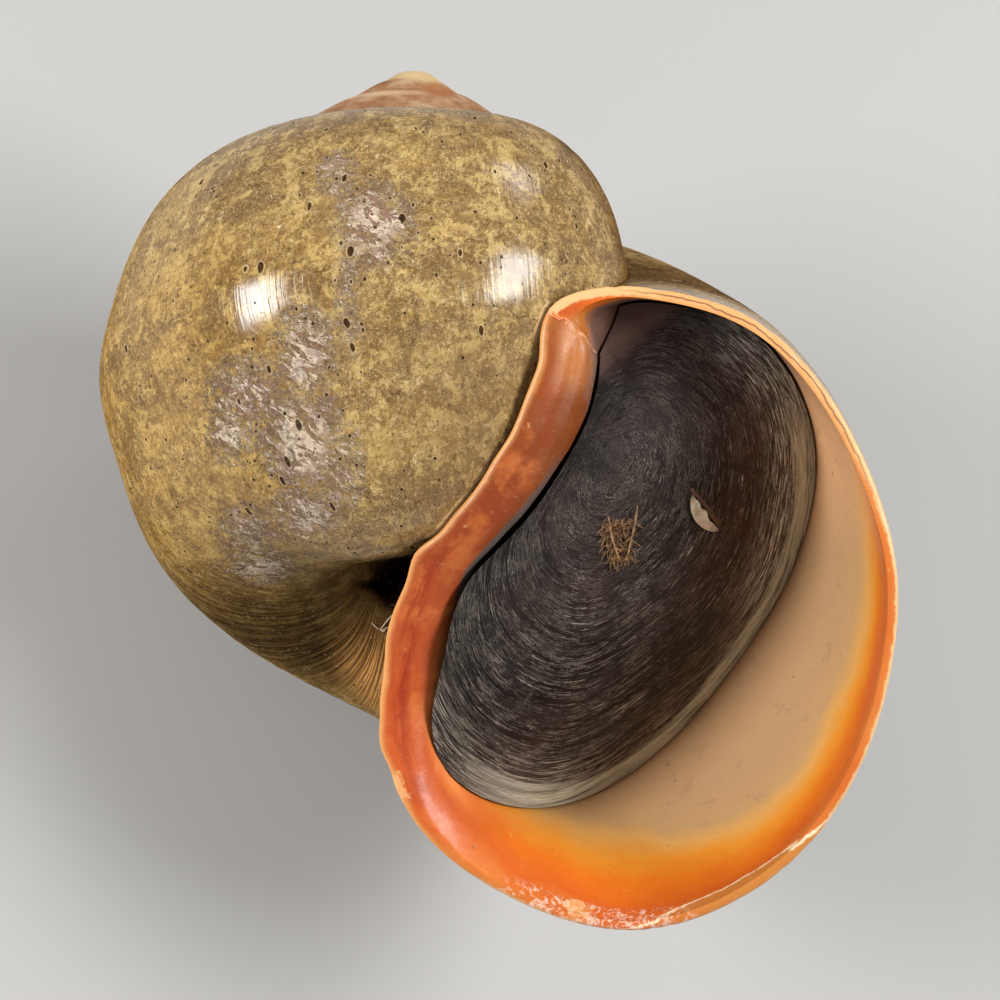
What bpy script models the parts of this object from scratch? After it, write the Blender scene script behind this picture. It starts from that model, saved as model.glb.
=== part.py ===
"""Apple snail shell with its operculum, lying on its back with the mouth up."""
import math

import bmesh
import bpy
import numpy as np
from mathutils import Matrix, Vector

# Lengths below are millimetres, and MM turns them into metres.
MM = 0.001

# The coil: each turn is the one before it, enlarged about the tip of the spire.
GROWTH_PER_TURN = 1.95
GROWTH_RATE = math.log(GROWTH_PER_TURN) / (2 * math.pi)
# The coiling axis leans back from the plane of the mouth and a little to one side.
COIL_LEAN = math.radians(6.9)
COIL_ROLL = math.radians(-1.2)

# Cross-section of the last whorl, beside the axis: centre (out, up) and its radius every 30 degrees,
# from straight out, over the shoulder and the axis side, to the base.
WHORL_CENTRE = (30.5, -64.5)
WHORL_RADII = (27.5, 29.5, 37.0, 44.5, 38.0, 30.0, 28.0, 31.0, 41.0, 39.5, 32.5, 27.0)
# Half-width of the open umbilicus, and how softly the wall turns to follow it.
UMBILICUS_RADIUS = 2.4
UMBILICUS_EASING = 4.0
# Lean of the growth lines: constant, with height, and with distance from the axis (radians).
GROWTH_LINE_LEAN = (0.11, 0.08, 0.19)
WHORL_HALF_WIDTH = 28.5
WHORL_HALF_HEIGHT = 39.5

# Edge of the mouth, clockwise from the suture, across and up in the plane of the mouth.
LIP_OUTLINE = (
    (17.5, -35.5),
    (23.5, -33.0),
    (29.5, -33.0),
    (40.5, -36.0),
    (49.0, -43.0),
    (55.0, -52.5),
    (59.5, -65.5),
    (59.5, -78.0),
    (56.0, -91.0),
    (47.5, -103.5),
    (35.0, -111.0),
    (24.0, -112.0),
    (11.5, -107.5),
    (1.5, -99.5),
    (-3.0, -89.5),
    (-3.0, -80.5),
    (-1.5, -72.0),
    (1.5, -65.0),
    (8.0, -58.0),
    (13.0, -49.5),
    (16.0, -42.0),
)
# The plane of the mouth: its height at the reference point and its two slopes.
LIP_HEIGHT = 25.0
LIP_SLOPES = (0.05, 0.13)
LIP_REFERENCE = (27.0, -67.0)
# Where the lip crosses the whorl before it, it climbs over that whorl's wall.
PARIETAL_RISE = 4.0
PARIETAL_PLACE = 0.92
PARIETAL_SPREAD = 0.16
# How far back from the mouth (radians of growth) the section turns into the outline of the lip.
LIP_BLEND = 0.9
COLUMELLA_BLEND = 0.4
# Where the columella lies round the ring, and how far it spreads, as shares of the ring.
COLUMELLA_PLACE = 0.8
COLUMELLA_SPREAD = 0.16
# The thick inner lip: it runs up over the whorl before the mouth, to the suture.
INNER_LIP_PLACE = 0.865
INNER_LIP_SPREAD = 0.18
INNER_LIP_SHARPNESS = 1.6

# Swelling of the whorl before the mouth, along its base.
SWELL = 8.0
SWELL_STAGE = -5.0
SWELL_REACH = 1.3
SWELL_ANGLE = math.radians(265)
SWELL_WIDTH = math.radians(80)

# Thickness of the wall: at the mouth but for its lip, and how it grows with the shell.
WALL = 2.0
WALL_GROWTH = 0.6 * GROWTH_RATE
# It thins to the edge of the lip over this much growth.
WALL_AT_LIP = 1.3
LIP_TAPER = 0.3
# The inner lip, how far back it runs, and the layer laid on the turns inside the hollow.
INNER_LIP_WALL = 5.6
INNER_LIP_REACH = 2.0
CALLUS = 1.0

# Facets: places round a ring, and spans of growth as (first stage, last stage, rings per radian).
COLUMNS = 38
OUTER_STEPS = (
    (-25.0, -17.0, 2.0),
    (-16.6, -11.0, 3.0),
    (-10.7, -5.0, 4.0),
    (-4.8, -1.0, 5.5),
    (-0.9, 0.0, 8.0),
)
# Rounded edge of the lip, and the slope of the inner lip: inward and ahead of the last ring.
LIP_EDGE = ((0.5, 0.45), (2.2, 0.3), (6.0, -1.4))
# A small body inside the last turn, and its share of the section there.
CORE_STAGES = (-1.0, -0.9)
CORE_SCALE = 0.2
# The two lengths of the hollow, and the earlier turns that each one wraps round.
MOUTH_CHAMBER = (-4.4, 0.0, 5.0)
MOUTH_COLUMNS = 34
ROUND_MOUTH_CHAMBER = ((-8.9, -4.7, 5.0), (-13.0, -8.9, 4.0))
INNER_CHAMBER = (-9.0, -4.2, 2.4)
INNER_COLUMNS = 18
ROUND_INNER_CHAMBER = ((-13.5, -9.3, 2.6), (-17.5, -13.5, 2.2))
# A length is this much slimmer where it runs into the next, and the first runs on past the lip.
CHAMBER_JOIN = 0.25
CHAMBER_AHEAD = 7.0

# The operculum: a thin plate bowed across the mouth, well below the lip on the outer side.
# Height of its face: constant, then across, up, across squared, across by up, up squared,
# with across and up counted in tens of millimetres from its middle.
OPERCULUM_MIDDLE = (28.0, -66.0)
OPERCULUM_FACE = (18.4, -5.8, 4.1, -1.4, 1.7, -1.1)
OPERCULUM_THICK = 1.3
OPERCULUM_GAP = 0.4
OPERCULUM_CELLS = (8, 11)
# Its outline where the walls of the mouth do not set it, across and up.
OPERCULUM_OUTLINE = (
    (24.5, -35.5),
    (29.0, -33.0),
    (36.5, -31.5),
    (45.0, -36.0),
    (50.0, -40.5),
    (53.5, -47.0),
    (55.0, -54.5),
    (54.5, -63.5),
    (52.5, -72.0),
    (48.5, -79.0),
    (43.0, -86.0),
    (35.5, -92.5),
    (28.0, -98.0),
    (17.0, -102.0),
    (6.0, -97.5),
    (-0.5, -88.0),
    (-0.5, -74.0),
    (8.0, -59.0),
    (19.0, -43.0),
)
# The body that trims it: how far it runs in depth, and how far the untrimmed sheet passes it.
OPERCULUM_DEPTHS = (-30.0, 40.0)
OPERCULUM_MARGIN = 1.0

# How the shell lies: turned from the view onto the mouth, on a worn flat this deep on its back.
LIE_ABOUT_Y = math.radians(-18.0)
LIE_ABOUT_X = math.radians(22.6)
REST_DEPTH = 0.6
GROUND_SIZE = 150.0

SHELL_COLOUR = (0.30, 0.20, 0.08)
SHELL_ROUGHNESS = 0.42
SHELL_COAT = 0.2
OPERCULUM_COLOUR = (0.035, 0.028, 0.024)
OPERCULUM_ROUGHNESS = 0.5
SHARP_ANGLE = math.radians(40)

# Points worked out along a curve before it is divided evenly: for each span of the curve,
# for the section of a whorl, and for the outline of the operculum.
SPAN_POINTS = 60
SECTION_POINTS = 360
OPERCULUM_POINTS = 48


def smooth_step(x):
    x = np.clip(x, 0.0, 1.0)
    return x * x * (3.0 - 2.0 * x)


def share_near(count, middle, spread, sharpness=1.0):
    """1 around one place on a ring, easing to 0 at the given spread on either side of it."""
    place = np.arange(count) / count
    apart = np.abs((place - middle + 0.5) % 1.0 - 0.5)
    return smooth_step(sharpness * (1.0 - apart / spread))


def closed_curve(points, count):
    """Smooth closed curve through the points, as count points evenly spaced along it."""
    p = np.asarray(points, float)
    n = len(p)
    step = np.sqrt(np.linalg.norm(np.roll(p, -1, 0) - p, axis=1))
    before = np.roll(step, 1)
    matrix = np.zeros((n, n))
    for i in range(n):
        matrix[i, i - 1] = before[i]
        matrix[i, i] = 2.0 * (before[i] + step[i])
        matrix[i, (i + 1) % n] = step[i]
    slope = (np.roll(p, -1, 0) - p) / step[:, None]
    bend = np.linalg.solve(matrix, 6.0 * (slope - np.roll(slope, 1, 0)))
    dense = []
    for i in range(n):
        j = (i + 1) % n
        h = step[i]
        t = np.linspace(0.0, h, SPAN_POINTS, endpoint=False)[:, None]
        dense.append(
            bend[i] * (h - t) ** 3 / (6 * h)
            + bend[j] * t**3 / (6 * h)
            + (p[i] / h - bend[i] * h / 6) * (h - t)
            + (p[j] / h - bend[j] * h / 6) * t
        )
    return evenly_spaced(np.vstack(dense), count)


def evenly_spaced(loop, count):
    """A closed polyline resampled by length, from its first point."""
    closed = np.vstack([loop, loop[:1]])
    length = np.r_[0.0, np.cumsum(np.linalg.norm(np.diff(closed, axis=0), axis=1))]
    at = np.linspace(0.0, length[-1], count, endpoint=False)
    return np.stack([np.interp(at, length, closed[:, k]) for k in range(closed.shape[1])], 1)


def from_mouth_view(p):
    """Across, up and toward the mouth's side -> coil axes (axis up, mouth toward -Y)."""
    c, s = math.cos(COIL_ROLL), math.sin(COIL_ROLL)
    x = p[..., 0] * c + p[..., 1] * s
    y = -p[..., 0] * s + p[..., 1] * c
    cb, sb = math.cos(COIL_LEAN), math.sin(COIL_LEAN)
    out = p[..., 2] * cb + y * sb
    up = y * cb - p[..., 2] * sb
    return np.stack([x, -out, up], -1)


def to_mouth_view(p):
    """The reverse of from_mouth_view."""
    cb, sb = math.cos(COIL_LEAN), math.sin(COIL_LEAN)
    out = -p[..., 1]
    toward = out * cb - p[..., 2] * sb
    y = p[..., 2] * cb + out * sb
    c, s = math.cos(COIL_ROLL), math.sin(COIL_ROLL)
    return np.stack([p[..., 0] * c - y * s, p[..., 0] * s + y * c, toward], -1)


def lip_ring(count):
    """Edge of the mouth in coil axes."""
    outline = np.array(LIP_OUTLINE)
    height = (
        LIP_HEIGHT
        + LIP_SLOPES[0] * (outline[:, 0] - LIP_REFERENCE[0])
        + LIP_SLOPES[1] * (outline[:, 1] - LIP_REFERENCE[1])
    )
    ring = closed_curve(np.c_[outline, height], count)
    ring[:, 2] += PARIETAL_RISE * share_near(count, PARIETAL_PLACE, PARIETAL_SPREAD)
    return from_mouth_view(ring)


def whorl_ring(count, start):
    """Cross-section of the last whorl in coil axes, clockwise from the point nearest start."""
    radius = np.array(WHORL_RADII)
    corner = np.linspace(0.0, 2 * math.pi, len(radius), endpoint=False)
    section = closed_curve(np.c_[radius * np.cos(corner), radius * np.sin(corner)], SECTION_POINTS)
    rho = WHORL_CENTRE[0] + section[:, 0]
    z = WHORL_CENTRE[1] + section[:, 1]
    limit = UMBILICUS_RADIUS + UMBILICUS_EASING
    eased = UMBILICUS_RADIUS + UMBILICUS_EASING * np.exp((rho - limit) / UMBILICUS_EASING)
    rho = np.where(rho < limit, eased, rho)
    lean = (
        GROWTH_LINE_LEAN[0]
        + GROWTH_LINE_LEAN[1] * section[:, 1] / WHORL_HALF_HEIGHT
        + GROWTH_LINE_LEAN[2] * (rho - WHORL_CENTRE[0]) / WHORL_HALF_WIDTH
    )
    ring = np.stack([rho * np.cos(-lean), rho * np.sin(-lean), z], 1)[::-1]
    first = np.argmin(np.linalg.norm(ring - start, axis=1))
    return evenly_spaced(np.roll(ring, -first, 0), count)


def growth_rings(stages, count):
    """Rings of the outer surface in coil axes, one per stage (radians of growth, 0 at the mouth)."""
    lip = lip_ring(count)
    ring = whorl_ring(count, lip[0])
    stages = np.asarray(stages, float)
    rho = np.hypot(ring[:, 0], ring[:, 1])
    angle = np.arctan2(ring[:, 2] - WHORL_CENTRE[1], rho - WHORL_CENTRE[0])
    off_base = np.abs((angle - SWELL_ANGLE + math.pi) % (2 * math.pi) - math.pi)
    around = smooth_step(1.0 - off_base / SWELL_WIDTH)
    along = smooth_step(1.0 - np.abs(stages - SWELL_STAGE) / SWELL_REACH)
    reach = LIP_BLEND + (COLUMELLA_BLEND - LIP_BLEND) * share_near(count, COLUMELLA_PLACE, COLUMELLA_SPREAD)
    blend = smooth_step(1.0 + stages[:, None] / reach)[..., None]
    rings = (1.0 - blend) * ring + blend * lip
    rings[..., 2] -= SWELL * along[:, None] * around
    size = np.exp(GROWTH_RATE * stages)[:, None]
    c = np.cos(-stages)[:, None]
    s = np.sin(-stages)[:, None]
    x = size * (rings[..., 0] * c - rings[..., 1] * s)
    y = size * (rings[..., 0] * s + rings[..., 1] * c)
    return np.stack([x, y, size * rings[..., 2]], -1)


def outward_normals(rings):
    """Unit normals of a tube given as rings along it."""
    around = np.roll(rings, -1, 1) - np.roll(rings, 1, 1)
    along = np.gradient(rings, axis=0)
    normal = np.cross(around, along)
    normal /= np.linalg.norm(normal, axis=2, keepdims=True) + 1e-12
    middle = rings.mean(axis=1, keepdims=True)
    if ((rings - middle) * normal).sum() < 0:
        normal = -normal
    return normal


def stage_steps(first, last, per_radian):
    count = max(2, int(round((last - first) * per_radian)) + 1)
    return np.linspace(first, last, count)


def wall_thickness(stages, count):
    """Thickness of the wall at each stage and each place round the ring."""
    stages = np.asarray(stages)[:, None]
    wall = WALL * np.exp(WALL_GROWTH * np.minimum(stages, 0.0))
    wall = WALL_AT_LIP + (wall - WALL_AT_LIP) * smooth_step(-stages / LIP_TAPER)
    inner_lip = share_near(count, INNER_LIP_PLACE, INNER_LIP_SPREAD, INNER_LIP_SHARPNESS)
    near_mouth = smooth_step(1.0 + stages / INNER_LIP_REACH)
    return wall + (INNER_LIP_WALL - WALL_AT_LIP) * inner_lip * near_mouth


def clear_scene():
    for ob in list(bpy.data.objects):
        bpy.data.objects.remove(ob, do_unlink=True)


def closed_object(name, points, faces):
    """A named object from points and faces, with its faces turned outward."""
    mesh = bpy.data.meshes.new(name)
    mesh.from_pydata(points, [], faces)
    work = bmesh.new()
    work.from_mesh(mesh)
    if work.calc_volume(signed=True) < 0:
        bmesh.ops.reverse_faces(work, faces=work.faces)
    work.to_mesh(mesh)
    work.free()
    ob = bpy.data.objects.new(name, mesh)
    bpy.context.scene.collection.objects.link(ob)
    return ob


def solid_object(name, rings):
    """Closed body from rings along it, with a fan at each end."""
    rows, columns = rings.shape[:2]
    points = [tuple(p) for p in (rings.reshape(-1, 3) * MM)]
    points.append(tuple(rings[0].mean(axis=0) * MM))
    points.append(tuple(rings[-1].mean(axis=0) * MM))
    last = (rows - 1) * columns
    faces = []
    for j in range(columns):
        k = (j + 1) % columns
        for row in range(0, last, columns):
            faces.append((row + j, row + k, row + columns + k))
            faces.append((row + j, row + columns + k, row + columns + j))
        faces.append((k, j, rows * columns))
        faces.append((last + j, last + k, rows * columns + 1))
    return closed_object(name, points, faces)


def sheet_object(name, top, under):
    """Closed plate between two grids of the same size."""
    rows, columns = top.shape[:2]
    size = rows * columns
    points = [tuple(p) for p in (top.reshape(-1, 3) * MM)]
    points += [tuple(p) for p in (under.reshape(-1, 3) * MM)]
    faces = []
    for i in range(rows - 1):
        for j in range(columns - 1):
            a = i * columns + j
            b = a + columns
            faces += [(a, b, b + 1), (a, b + 1, a + 1)]
            faces += [(size + a, size + b + 1, size + b), (size + a, size + a + 1, size + b + 1)]
    rim = [i * columns for i in range(rows)]
    rim += [(rows - 1) * columns + j for j in range(1, columns)]
    rim += [i * columns + columns - 1 for i in range(rows - 2, -1, -1)]
    rim += list(range(columns - 2, 0, -1))
    for a, b in zip(rim, rim[1:] + rim[:1]):
        faces += [(b, a, size + a), (b, size + a, size + b)]
    return closed_object(name, points, faces)


def combine(ob, other, operation, with_itself=False):
    """Boolean of two bodies, applied; the second is used up."""
    step = ob.modifiers.new(operation.lower(), "BOOLEAN")
    step.operation = operation
    step.solver = "EXACT"
    step.use_self = with_itself
    step.object = other
    evaluated = ob.evaluated_get(bpy.context.evaluated_depsgraph_get())
    result = bpy.data.meshes.new_from_object(evaluated)
    ob.modifiers.clear()
    old = ob.data
    ob.data = result
    bpy.data.meshes.remove(old)
    bpy.data.objects.remove(other, do_unlink=True)


def lip_frame(ring):
    """Inward direction at each point of the lip, within its plane, and the way the mouth faces."""
    middle = ring.mean(axis=0)
    around = np.roll(ring, -1, 0) - np.roll(ring, 1, 0)
    forward = np.cross(ring - middle, around).sum(axis=0)
    forward /= np.linalg.norm(forward)
    if forward[1] > 0:
        forward = -forward
    inward = np.cross(around, forward)
    inward /= np.linalg.norm(inward, axis=1, keepdims=True)
    if (inward * (middle - ring)).sum() < 0:
        inward = -inward
    return inward, forward


def whorls():
    """The outside of all the turns as one body, with the rounded edge of the lip."""
    stages = np.concatenate([stage_steps(*part) for part in OUTER_STEPS])
    rings = growth_rings(stages, COLUMNS)
    inward, forward = lip_frame(rings[-1])
    edge = [rings[-1] + inward * across + forward * ahead for across, ahead in LIP_EDGE]
    body = solid_object("shell", np.concatenate([rings, edge]))
    # The turns overlap, and a small core inside the last one lets the Boolean join them.
    core_rings = growth_rings(CORE_STAGES, COLUMNS)
    middle = core_rings.mean(axis=1, keepdims=True)
    core = solid_object("core", middle + (core_rings - middle) * CORE_SCALE)
    combine(body, core, "UNION", with_itself=True)
    return body


def chamber(span, count, reaches_mouth, inside=0.0):
    """The hollow over part of the growth, before the turns inside it are taken away."""
    stages = stage_steps(*span)
    rings = growth_rings(stages, count)
    normals = outward_normals(rings)
    inset = wall_thickness(stages, count) + inside
    inset[0] += CHAMBER_JOIN
    if not reaches_mouth:
        inset[-1] += CHAMBER_JOIN
    inner = rings - normals * inset[..., None]
    if reaches_mouth:
        forward = lip_frame(rings[-1])[1]
        inner = np.concatenate([inner, [inner[-1] + forward * CHAMBER_AHEAD]])
    return solid_object("chamber", inner)


def earlier_turns(span, count, outside=0.0):
    """The turns a chamber wraps round, thickened by the callus laid on them."""
    rings = growth_rings(stage_steps(*span), count)
    return solid_object("earlier", rings + outward_normals(rings) * (CALLUS + outside))


def mouth_hollow(inside=0.0):
    """The hollow behind the mouth, or a slimmer copy of it."""
    hollow = chamber(MOUTH_CHAMBER, MOUTH_COLUMNS, True, inside)
    for span in ROUND_MOUTH_CHAMBER:
        combine(hollow, earlier_turns(span, MOUTH_COLUMNS, inside), "DIFFERENCE")
    return hollow


def inner_hollow():
    hollow = chamber(INNER_CHAMBER, INNER_COLUMNS, False)
    for span in ROUND_INNER_CHAMBER:
        combine(hollow, earlier_turns(span, INNER_COLUMNS), "DIFFERENCE")
    return hollow


def shell():
    body = whorls()
    combine(body, mouth_hollow(), "DIFFERENCE")
    combine(body, inner_hollow(), "DIFFERENCE")
    return body


def operculum_height(across, up):
    x = (across - OPERCULUM_MIDDLE[0]) / 10.0
    y = (up - OPERCULUM_MIDDLE[1]) / 10.0
    terms = (np.ones_like(x), x, y, x * x, x * y, y * y)
    return sum(factor * term for factor, term in zip(OPERCULUM_FACE, terms))


def operculum():
    """A bowed sheet, trimmed to its outline and to the walls of the mouth."""
    outline = closed_curve(OPERCULUM_OUTLINE, OPERCULUM_POINTS)
    low = outline.min(axis=0) - OPERCULUM_MARGIN
    high = outline.max(axis=0) + OPERCULUM_MARGIN
    across = np.linspace(low[0], high[0], OPERCULUM_CELLS[0] + 1)
    up = np.linspace(low[1], high[1], OPERCULUM_CELLS[1] + 1)
    grid = np.stack(np.meshgrid(across, up, indexing="ij"), -1)
    face = operculum_height(grid[..., 0], grid[..., 1])
    top = np.concatenate([grid, face[..., None]], -1)
    under = np.concatenate([grid, face[..., None] - OPERCULUM_THICK], -1)
    plate = sheet_object("operculum", from_mouth_view(top), from_mouth_view(under))
    levels = [np.c_[outline, np.full(len(outline), depth)] for depth in OPERCULUM_DEPTHS]
    trimmer = solid_object("trimmer", from_mouth_view(np.array(levels)))
    combine(plate, trimmer, "INTERSECT")
    combine(plate, mouth_hollow(OPERCULUM_GAP), "INTERSECT")
    return plate


def lie_down(bodies):
    """Turn the bodies onto the back of the last whorl, with its worn flat on the ground."""
    columns = [to_mouth_view(axis) for axis in np.eye(3)]
    view = Matrix(np.stack(columns, 1).tolist()).to_4x4()
    turn = Matrix.Rotation(LIE_ABOUT_X, 4, "X") @ Matrix.Rotation(LIE_ABOUT_Y, 4, "Y") @ view
    for body in bodies:
        body.data.transform(turn)
    low, high = bounds(bodies)
    middle = (low + high) / 2
    lift = Vector((-middle[0], -middle[1], -low[2] - REST_DEPTH * MM))
    for body in bodies:
        body.data.transform(Matrix.Translation(lift))


def bounds(bodies):
    points = np.array([v.co for body in bodies for v in body.data.vertices])
    return points.min(axis=0), points.max(axis=0)


def wear_flat(body):
    """Take away what would be below the ground."""
    # Off centre, so that no edge of its top crosses the flat.
    corners = ((-2, -1), (1, -1), (1, 3), (-2, 3))
    ground = [[(x, y, z) for x, y in corners] for z in (-1, 0)]
    ground = np.array(ground, float) * GROUND_SIZE
    combine(body, solid_object("ground", ground), "DIFFERENCE")


def finish(ob, colour, roughness, coat):
    """Material, smooth shading with crisp edges, and a tidy mesh."""
    material = bpy.data.materials.new(ob.name)
    material.use_nodes = True
    shader = material.node_tree.nodes["Principled BSDF"]
    shader.inputs["Base Color"].default_value = (*colour, 1.0)
    shader.inputs["Roughness"].default_value = roughness
    shader.inputs["Metallic"].default_value = 0.0
    shader.inputs["Coat Weight"].default_value = coat
    ob.data.materials.clear()
    ob.data.materials.append(material)
    ob.data.polygons.foreach_set("use_smooth", [True] * len(ob.data.polygons))
    ob.data.set_sharp_from_angle(angle=SHARP_ANGLE)


def main():
    clear_scene()
    snail_shell = shell()
    plate = operculum()
    lie_down((snail_shell, plate))
    wear_flat(snail_shell)
    finish(snail_shell, SHELL_COLOUR, SHELL_ROUGHNESS, SHELL_COAT)
    finish(plate, OPERCULUM_COLOUR, OPERCULUM_ROUGHNESS, 0.0)


if __name__ == "__main__":
    main()
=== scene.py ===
"""Looks of the apple snail shell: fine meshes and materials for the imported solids."""
import math

import bmesh
import bpy
import numpy as np
from mathutils import Matrix, Vector, noise
from mathutils.kdtree import KDTree


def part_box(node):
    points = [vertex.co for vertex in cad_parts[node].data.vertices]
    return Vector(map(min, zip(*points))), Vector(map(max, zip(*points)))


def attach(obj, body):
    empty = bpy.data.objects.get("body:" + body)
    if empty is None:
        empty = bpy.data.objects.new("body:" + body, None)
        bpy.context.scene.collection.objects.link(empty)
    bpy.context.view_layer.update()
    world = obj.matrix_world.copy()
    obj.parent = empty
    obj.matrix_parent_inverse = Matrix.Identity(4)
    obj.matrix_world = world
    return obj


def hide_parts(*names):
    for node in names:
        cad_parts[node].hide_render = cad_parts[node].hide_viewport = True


# Lengths below are millimetres, and MM turns them into metres. "Across, up" and "view" mean the
# mouth view: across, up and toward the viewer of the photo. Coil axes have the axis of the coil up.
MM = 0.001
TOWARD = np.array([0.0, 0.0, 1.0])

# ---- shape, as in the solids
GROWTH_PER_TURN = 1.95
GROWTH_RATE = math.log(GROWTH_PER_TURN) / (2 * math.pi)
# Lean and roll of the coil's axis, as the mouth view shows them.
COIL_LEAN = math.radians(6.9)
COIL_ROLL = math.radians(-1.2)
# Section of the last whorl: centre (out, up) and its radius every 30 degrees.
WHORL_CENTRE = (30.5, -64.5)
WHORL_RADII = (27.5, 29.5, 37.0, 44.5, 38.0, 30.0, 28.0, 31.0, 41.0, 39.5, 32.5, 27.0)
# The section stays out of the umbilicus, and its plane leans back with the growth lines.
UMBILICUS_RADIUS = 2.4
UMBILICUS_EASING = 4.0
GROWTH_LINE_LEAN = (0.11, 0.08, 0.19)
WHORL_HALF_WIDTH = 28.5
WHORL_HALF_HEIGHT = 39.5
# Edge of the mouth, clockwise from the suture, across and up in the plane of the mouth.
LIP_OUTLINE = (
    (17.5, -35.5), (23.5, -33.0), (29.5, -33.0), (40.5, -36.0), (49.0, -43.0), (55.0, -52.5),
    (59.5, -65.5), (59.5, -78.0), (56.0, -91.0), (47.5, -103.5), (35.0, -111.0), (24.0, -112.0),
    (11.5, -107.5), (1.5, -99.5), (-3.0, -89.5), (-3.0, -80.5), (-1.5, -72.0), (1.5, -65.0),
    (8.0, -58.0), (13.0, -49.5), (16.0, -42.0),
)
# How far toward the viewer the edge of the mouth stands: at its reference point, and its slopes.
LIP_HEIGHT = 25.0
LIP_SLOPES = (0.05, 0.13)
LIP_REFERENCE = (27.0, -67.0)
# Places round the lip, as shares from the suture, where its edge rises, where it follows the
# columella for longer, and where the wall is thick.
PARIETAL_RISE = 4.0
PARIETAL_PLACE = 0.92
PARIETAL_SPREAD = 0.16
LIP_BLEND = 0.9
COLUMELLA_BLEND = 0.4
COLUMELLA_PLACE = 0.8
COLUMELLA_SPREAD = 0.16
INNER_LIP_PLACE = 0.865
INNER_LIP_SPREAD = 0.18
INNER_LIP_SHARPNESS = 1.6
# Swelling of the base of the whorl: its height, and where it is along and round the growth.
SWELL = 8.0
SWELL_STAGE = -5.0
SWELL_REACH = 1.3
SWELL_ANGLE = math.radians(265)
SWELL_WIDTH = math.radians(80)
# Wall: at the mouth, how it thins inward, at the edge of the lip, and in the inner lip.
WALL = 2.0
WALL_GROWTH = 0.6 * GROWTH_RATE
WALL_AT_LIP = 1.3
LIP_TAPER = 0.3
INNER_LIP_WALL = 5.6
INNER_LIP_REACH = 2.0
CALLUS = 1.0
# Operculum: its middle, its height over it as a sum of powers, and its outline.
OPERCULUM_MIDDLE = (28.0, -66.0)
OPERCULUM_FACE = (18.4, -5.8, 4.1, -1.4, 1.7, -1.1)
OPERCULUM_THICK = 1.3
OPERCULUM_OUTLINE = (
    (24.5, -35.5), (29.0, -33.0), (36.5, -31.5), (45.0, -36.0), (50.0, -40.5), (53.5, -47.0),
    (55.0, -54.5), (54.5, -63.5), (52.5, -72.0), (48.5, -79.0), (43.0, -86.0), (35.5, -92.5),
    (28.0, -98.0), (17.0, -102.0), (6.0, -97.5), (-0.5, -88.0), (-0.5, -74.0), (8.0, -59.0),
    (19.0, -43.0),
)
# Turns from the mouth view to the attitude in which the shell rests.
LIE_ABOUT_Y = math.radians(-18.0)
LIE_ABOUT_X = math.radians(22.6)
SPAN_POINTS = 60
SECTION_POINTS = 360

# ---- fineness of the meshes
# Spans of growth as (first stage, last stage, rings per radian); the mouth's side of the
# last whorl but one is the finest.
OUTER_COLUMNS = 240
OUTER_STEPS = (
    (-25.0, -17.0, 5.0), (-16.85, -11.0, 8.0), (-10.9, -6.9, 16.0), (-6.85, -3.2, 46.0),
    (-3.15, -0.5, 28.0), (-0.47, 0.0, 60.0),
)
CORE_STAGES = (-1.0, -0.9)
CORE_COLUMNS = 12
CORE_SCALE = 0.2
# Rounded edge of the lip, and the slope of the inner lip: inward and ahead of the last ring.
LIP_EDGE = (
    (0.12, 0.22), (0.45, 0.4), (1.0, 0.42), (1.6, 0.38), (2.2, 0.3), (2.8, 0.15), (3.4, -0.05),
    (4.0, -0.3), (4.6, -0.6), (5.2, -0.95), (5.9, -1.4),
)
CHAMBER_COLUMNS = 180
CHAMBER_STEPS = ((-4.4, -1.25, 7.0), (-1.15, -0.4, 22.0), (-0.37, 0.0, 50.0))
ROUND_CHAMBER_STEPS = ((-13.0, -8.95, 6.0), (-8.8, -4.7, 14.0))
INNER_COLUMNS = 64
INNER_STEPS = ((-9.0, -4.2, 5.0),)
ROUND_INNER_STEPS = ((-13.5, -9.3, 5.0), (-17.5, -13.5, 4.0))
CHAMBER_JOIN = 0.25
CHAMBER_AHEAD = (2.0, 7.0)
# Edges sharper than this are not smoothed.
SHARP_ANGLE = math.radians(55)
# Material slots of the shell's mesh.
SKIN_SLOT = 0
MOUTH_SLOT = 1

# ---- relief of the shell
# Round the section, in millimetres of the last ring, and along the growth at this radius.
RING_LENGTH = 230.0
PATH_RADIUS = 55.0
# Worn places on the whorl beside the mouth: across, up, half-width, half-height, strength.
WORN_PLACES = (
    (-3.1, -26.3, 4.6, 4.8, 1.0),
    (-7.8, -19.8, 2.4, 3.2, 0.7),
    (-11.3, -41.5, 3.5, 5.6, 1.0),
    (-18.3, -46.0, 5.0, 4.4, 0.85),
    (-11.9, -51.4, 5.0, 6.2, 1.0),
    (-20.5, -50.8, 3.2, 3.4, 0.9),
    (-11.9, -60.2, 4.4, 3.4, 0.9),
    (-18.9, -62.5, 4.2, 3.6, 0.75),
    (-7.0, -54.5, 2.8, 5.4, 0.75),
    (-6.2, -36.0, 1.6, 7.0, 0.5),
    (-18.1, -66.6, 5.0, 2.5, 0.85),
)
# Where the skin is pitted: across, up, half-width, half-height and how densely.
PIT_CLUSTERS = (
    (-3.1, -27.0, 5.2, 4.8, 1.0),
    (-5.3, -36.0, 1.3, 15.0, 1.0),
    (-12.0, -46.0, 8.0, 14.0, 0.5),
    (6.0, -20.0, 20.0, 7.0, 0.45),
    (-18.0, -66.0, 12.0, 9.0, 0.4),
    (3.0, -48.0, 9.0, 12.0, 0.25),
)
# Length round the lip, points to measure from it, and chips along its edge: how deep, and cycles
# per millimetre.
LIP_LENGTH = 300.0
LIP_POINTS = 960
CHIP_DEPTH = 0.4
CHIP_SCALE = 0.42
INNER_LIP_ROUNDS = 25
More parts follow.
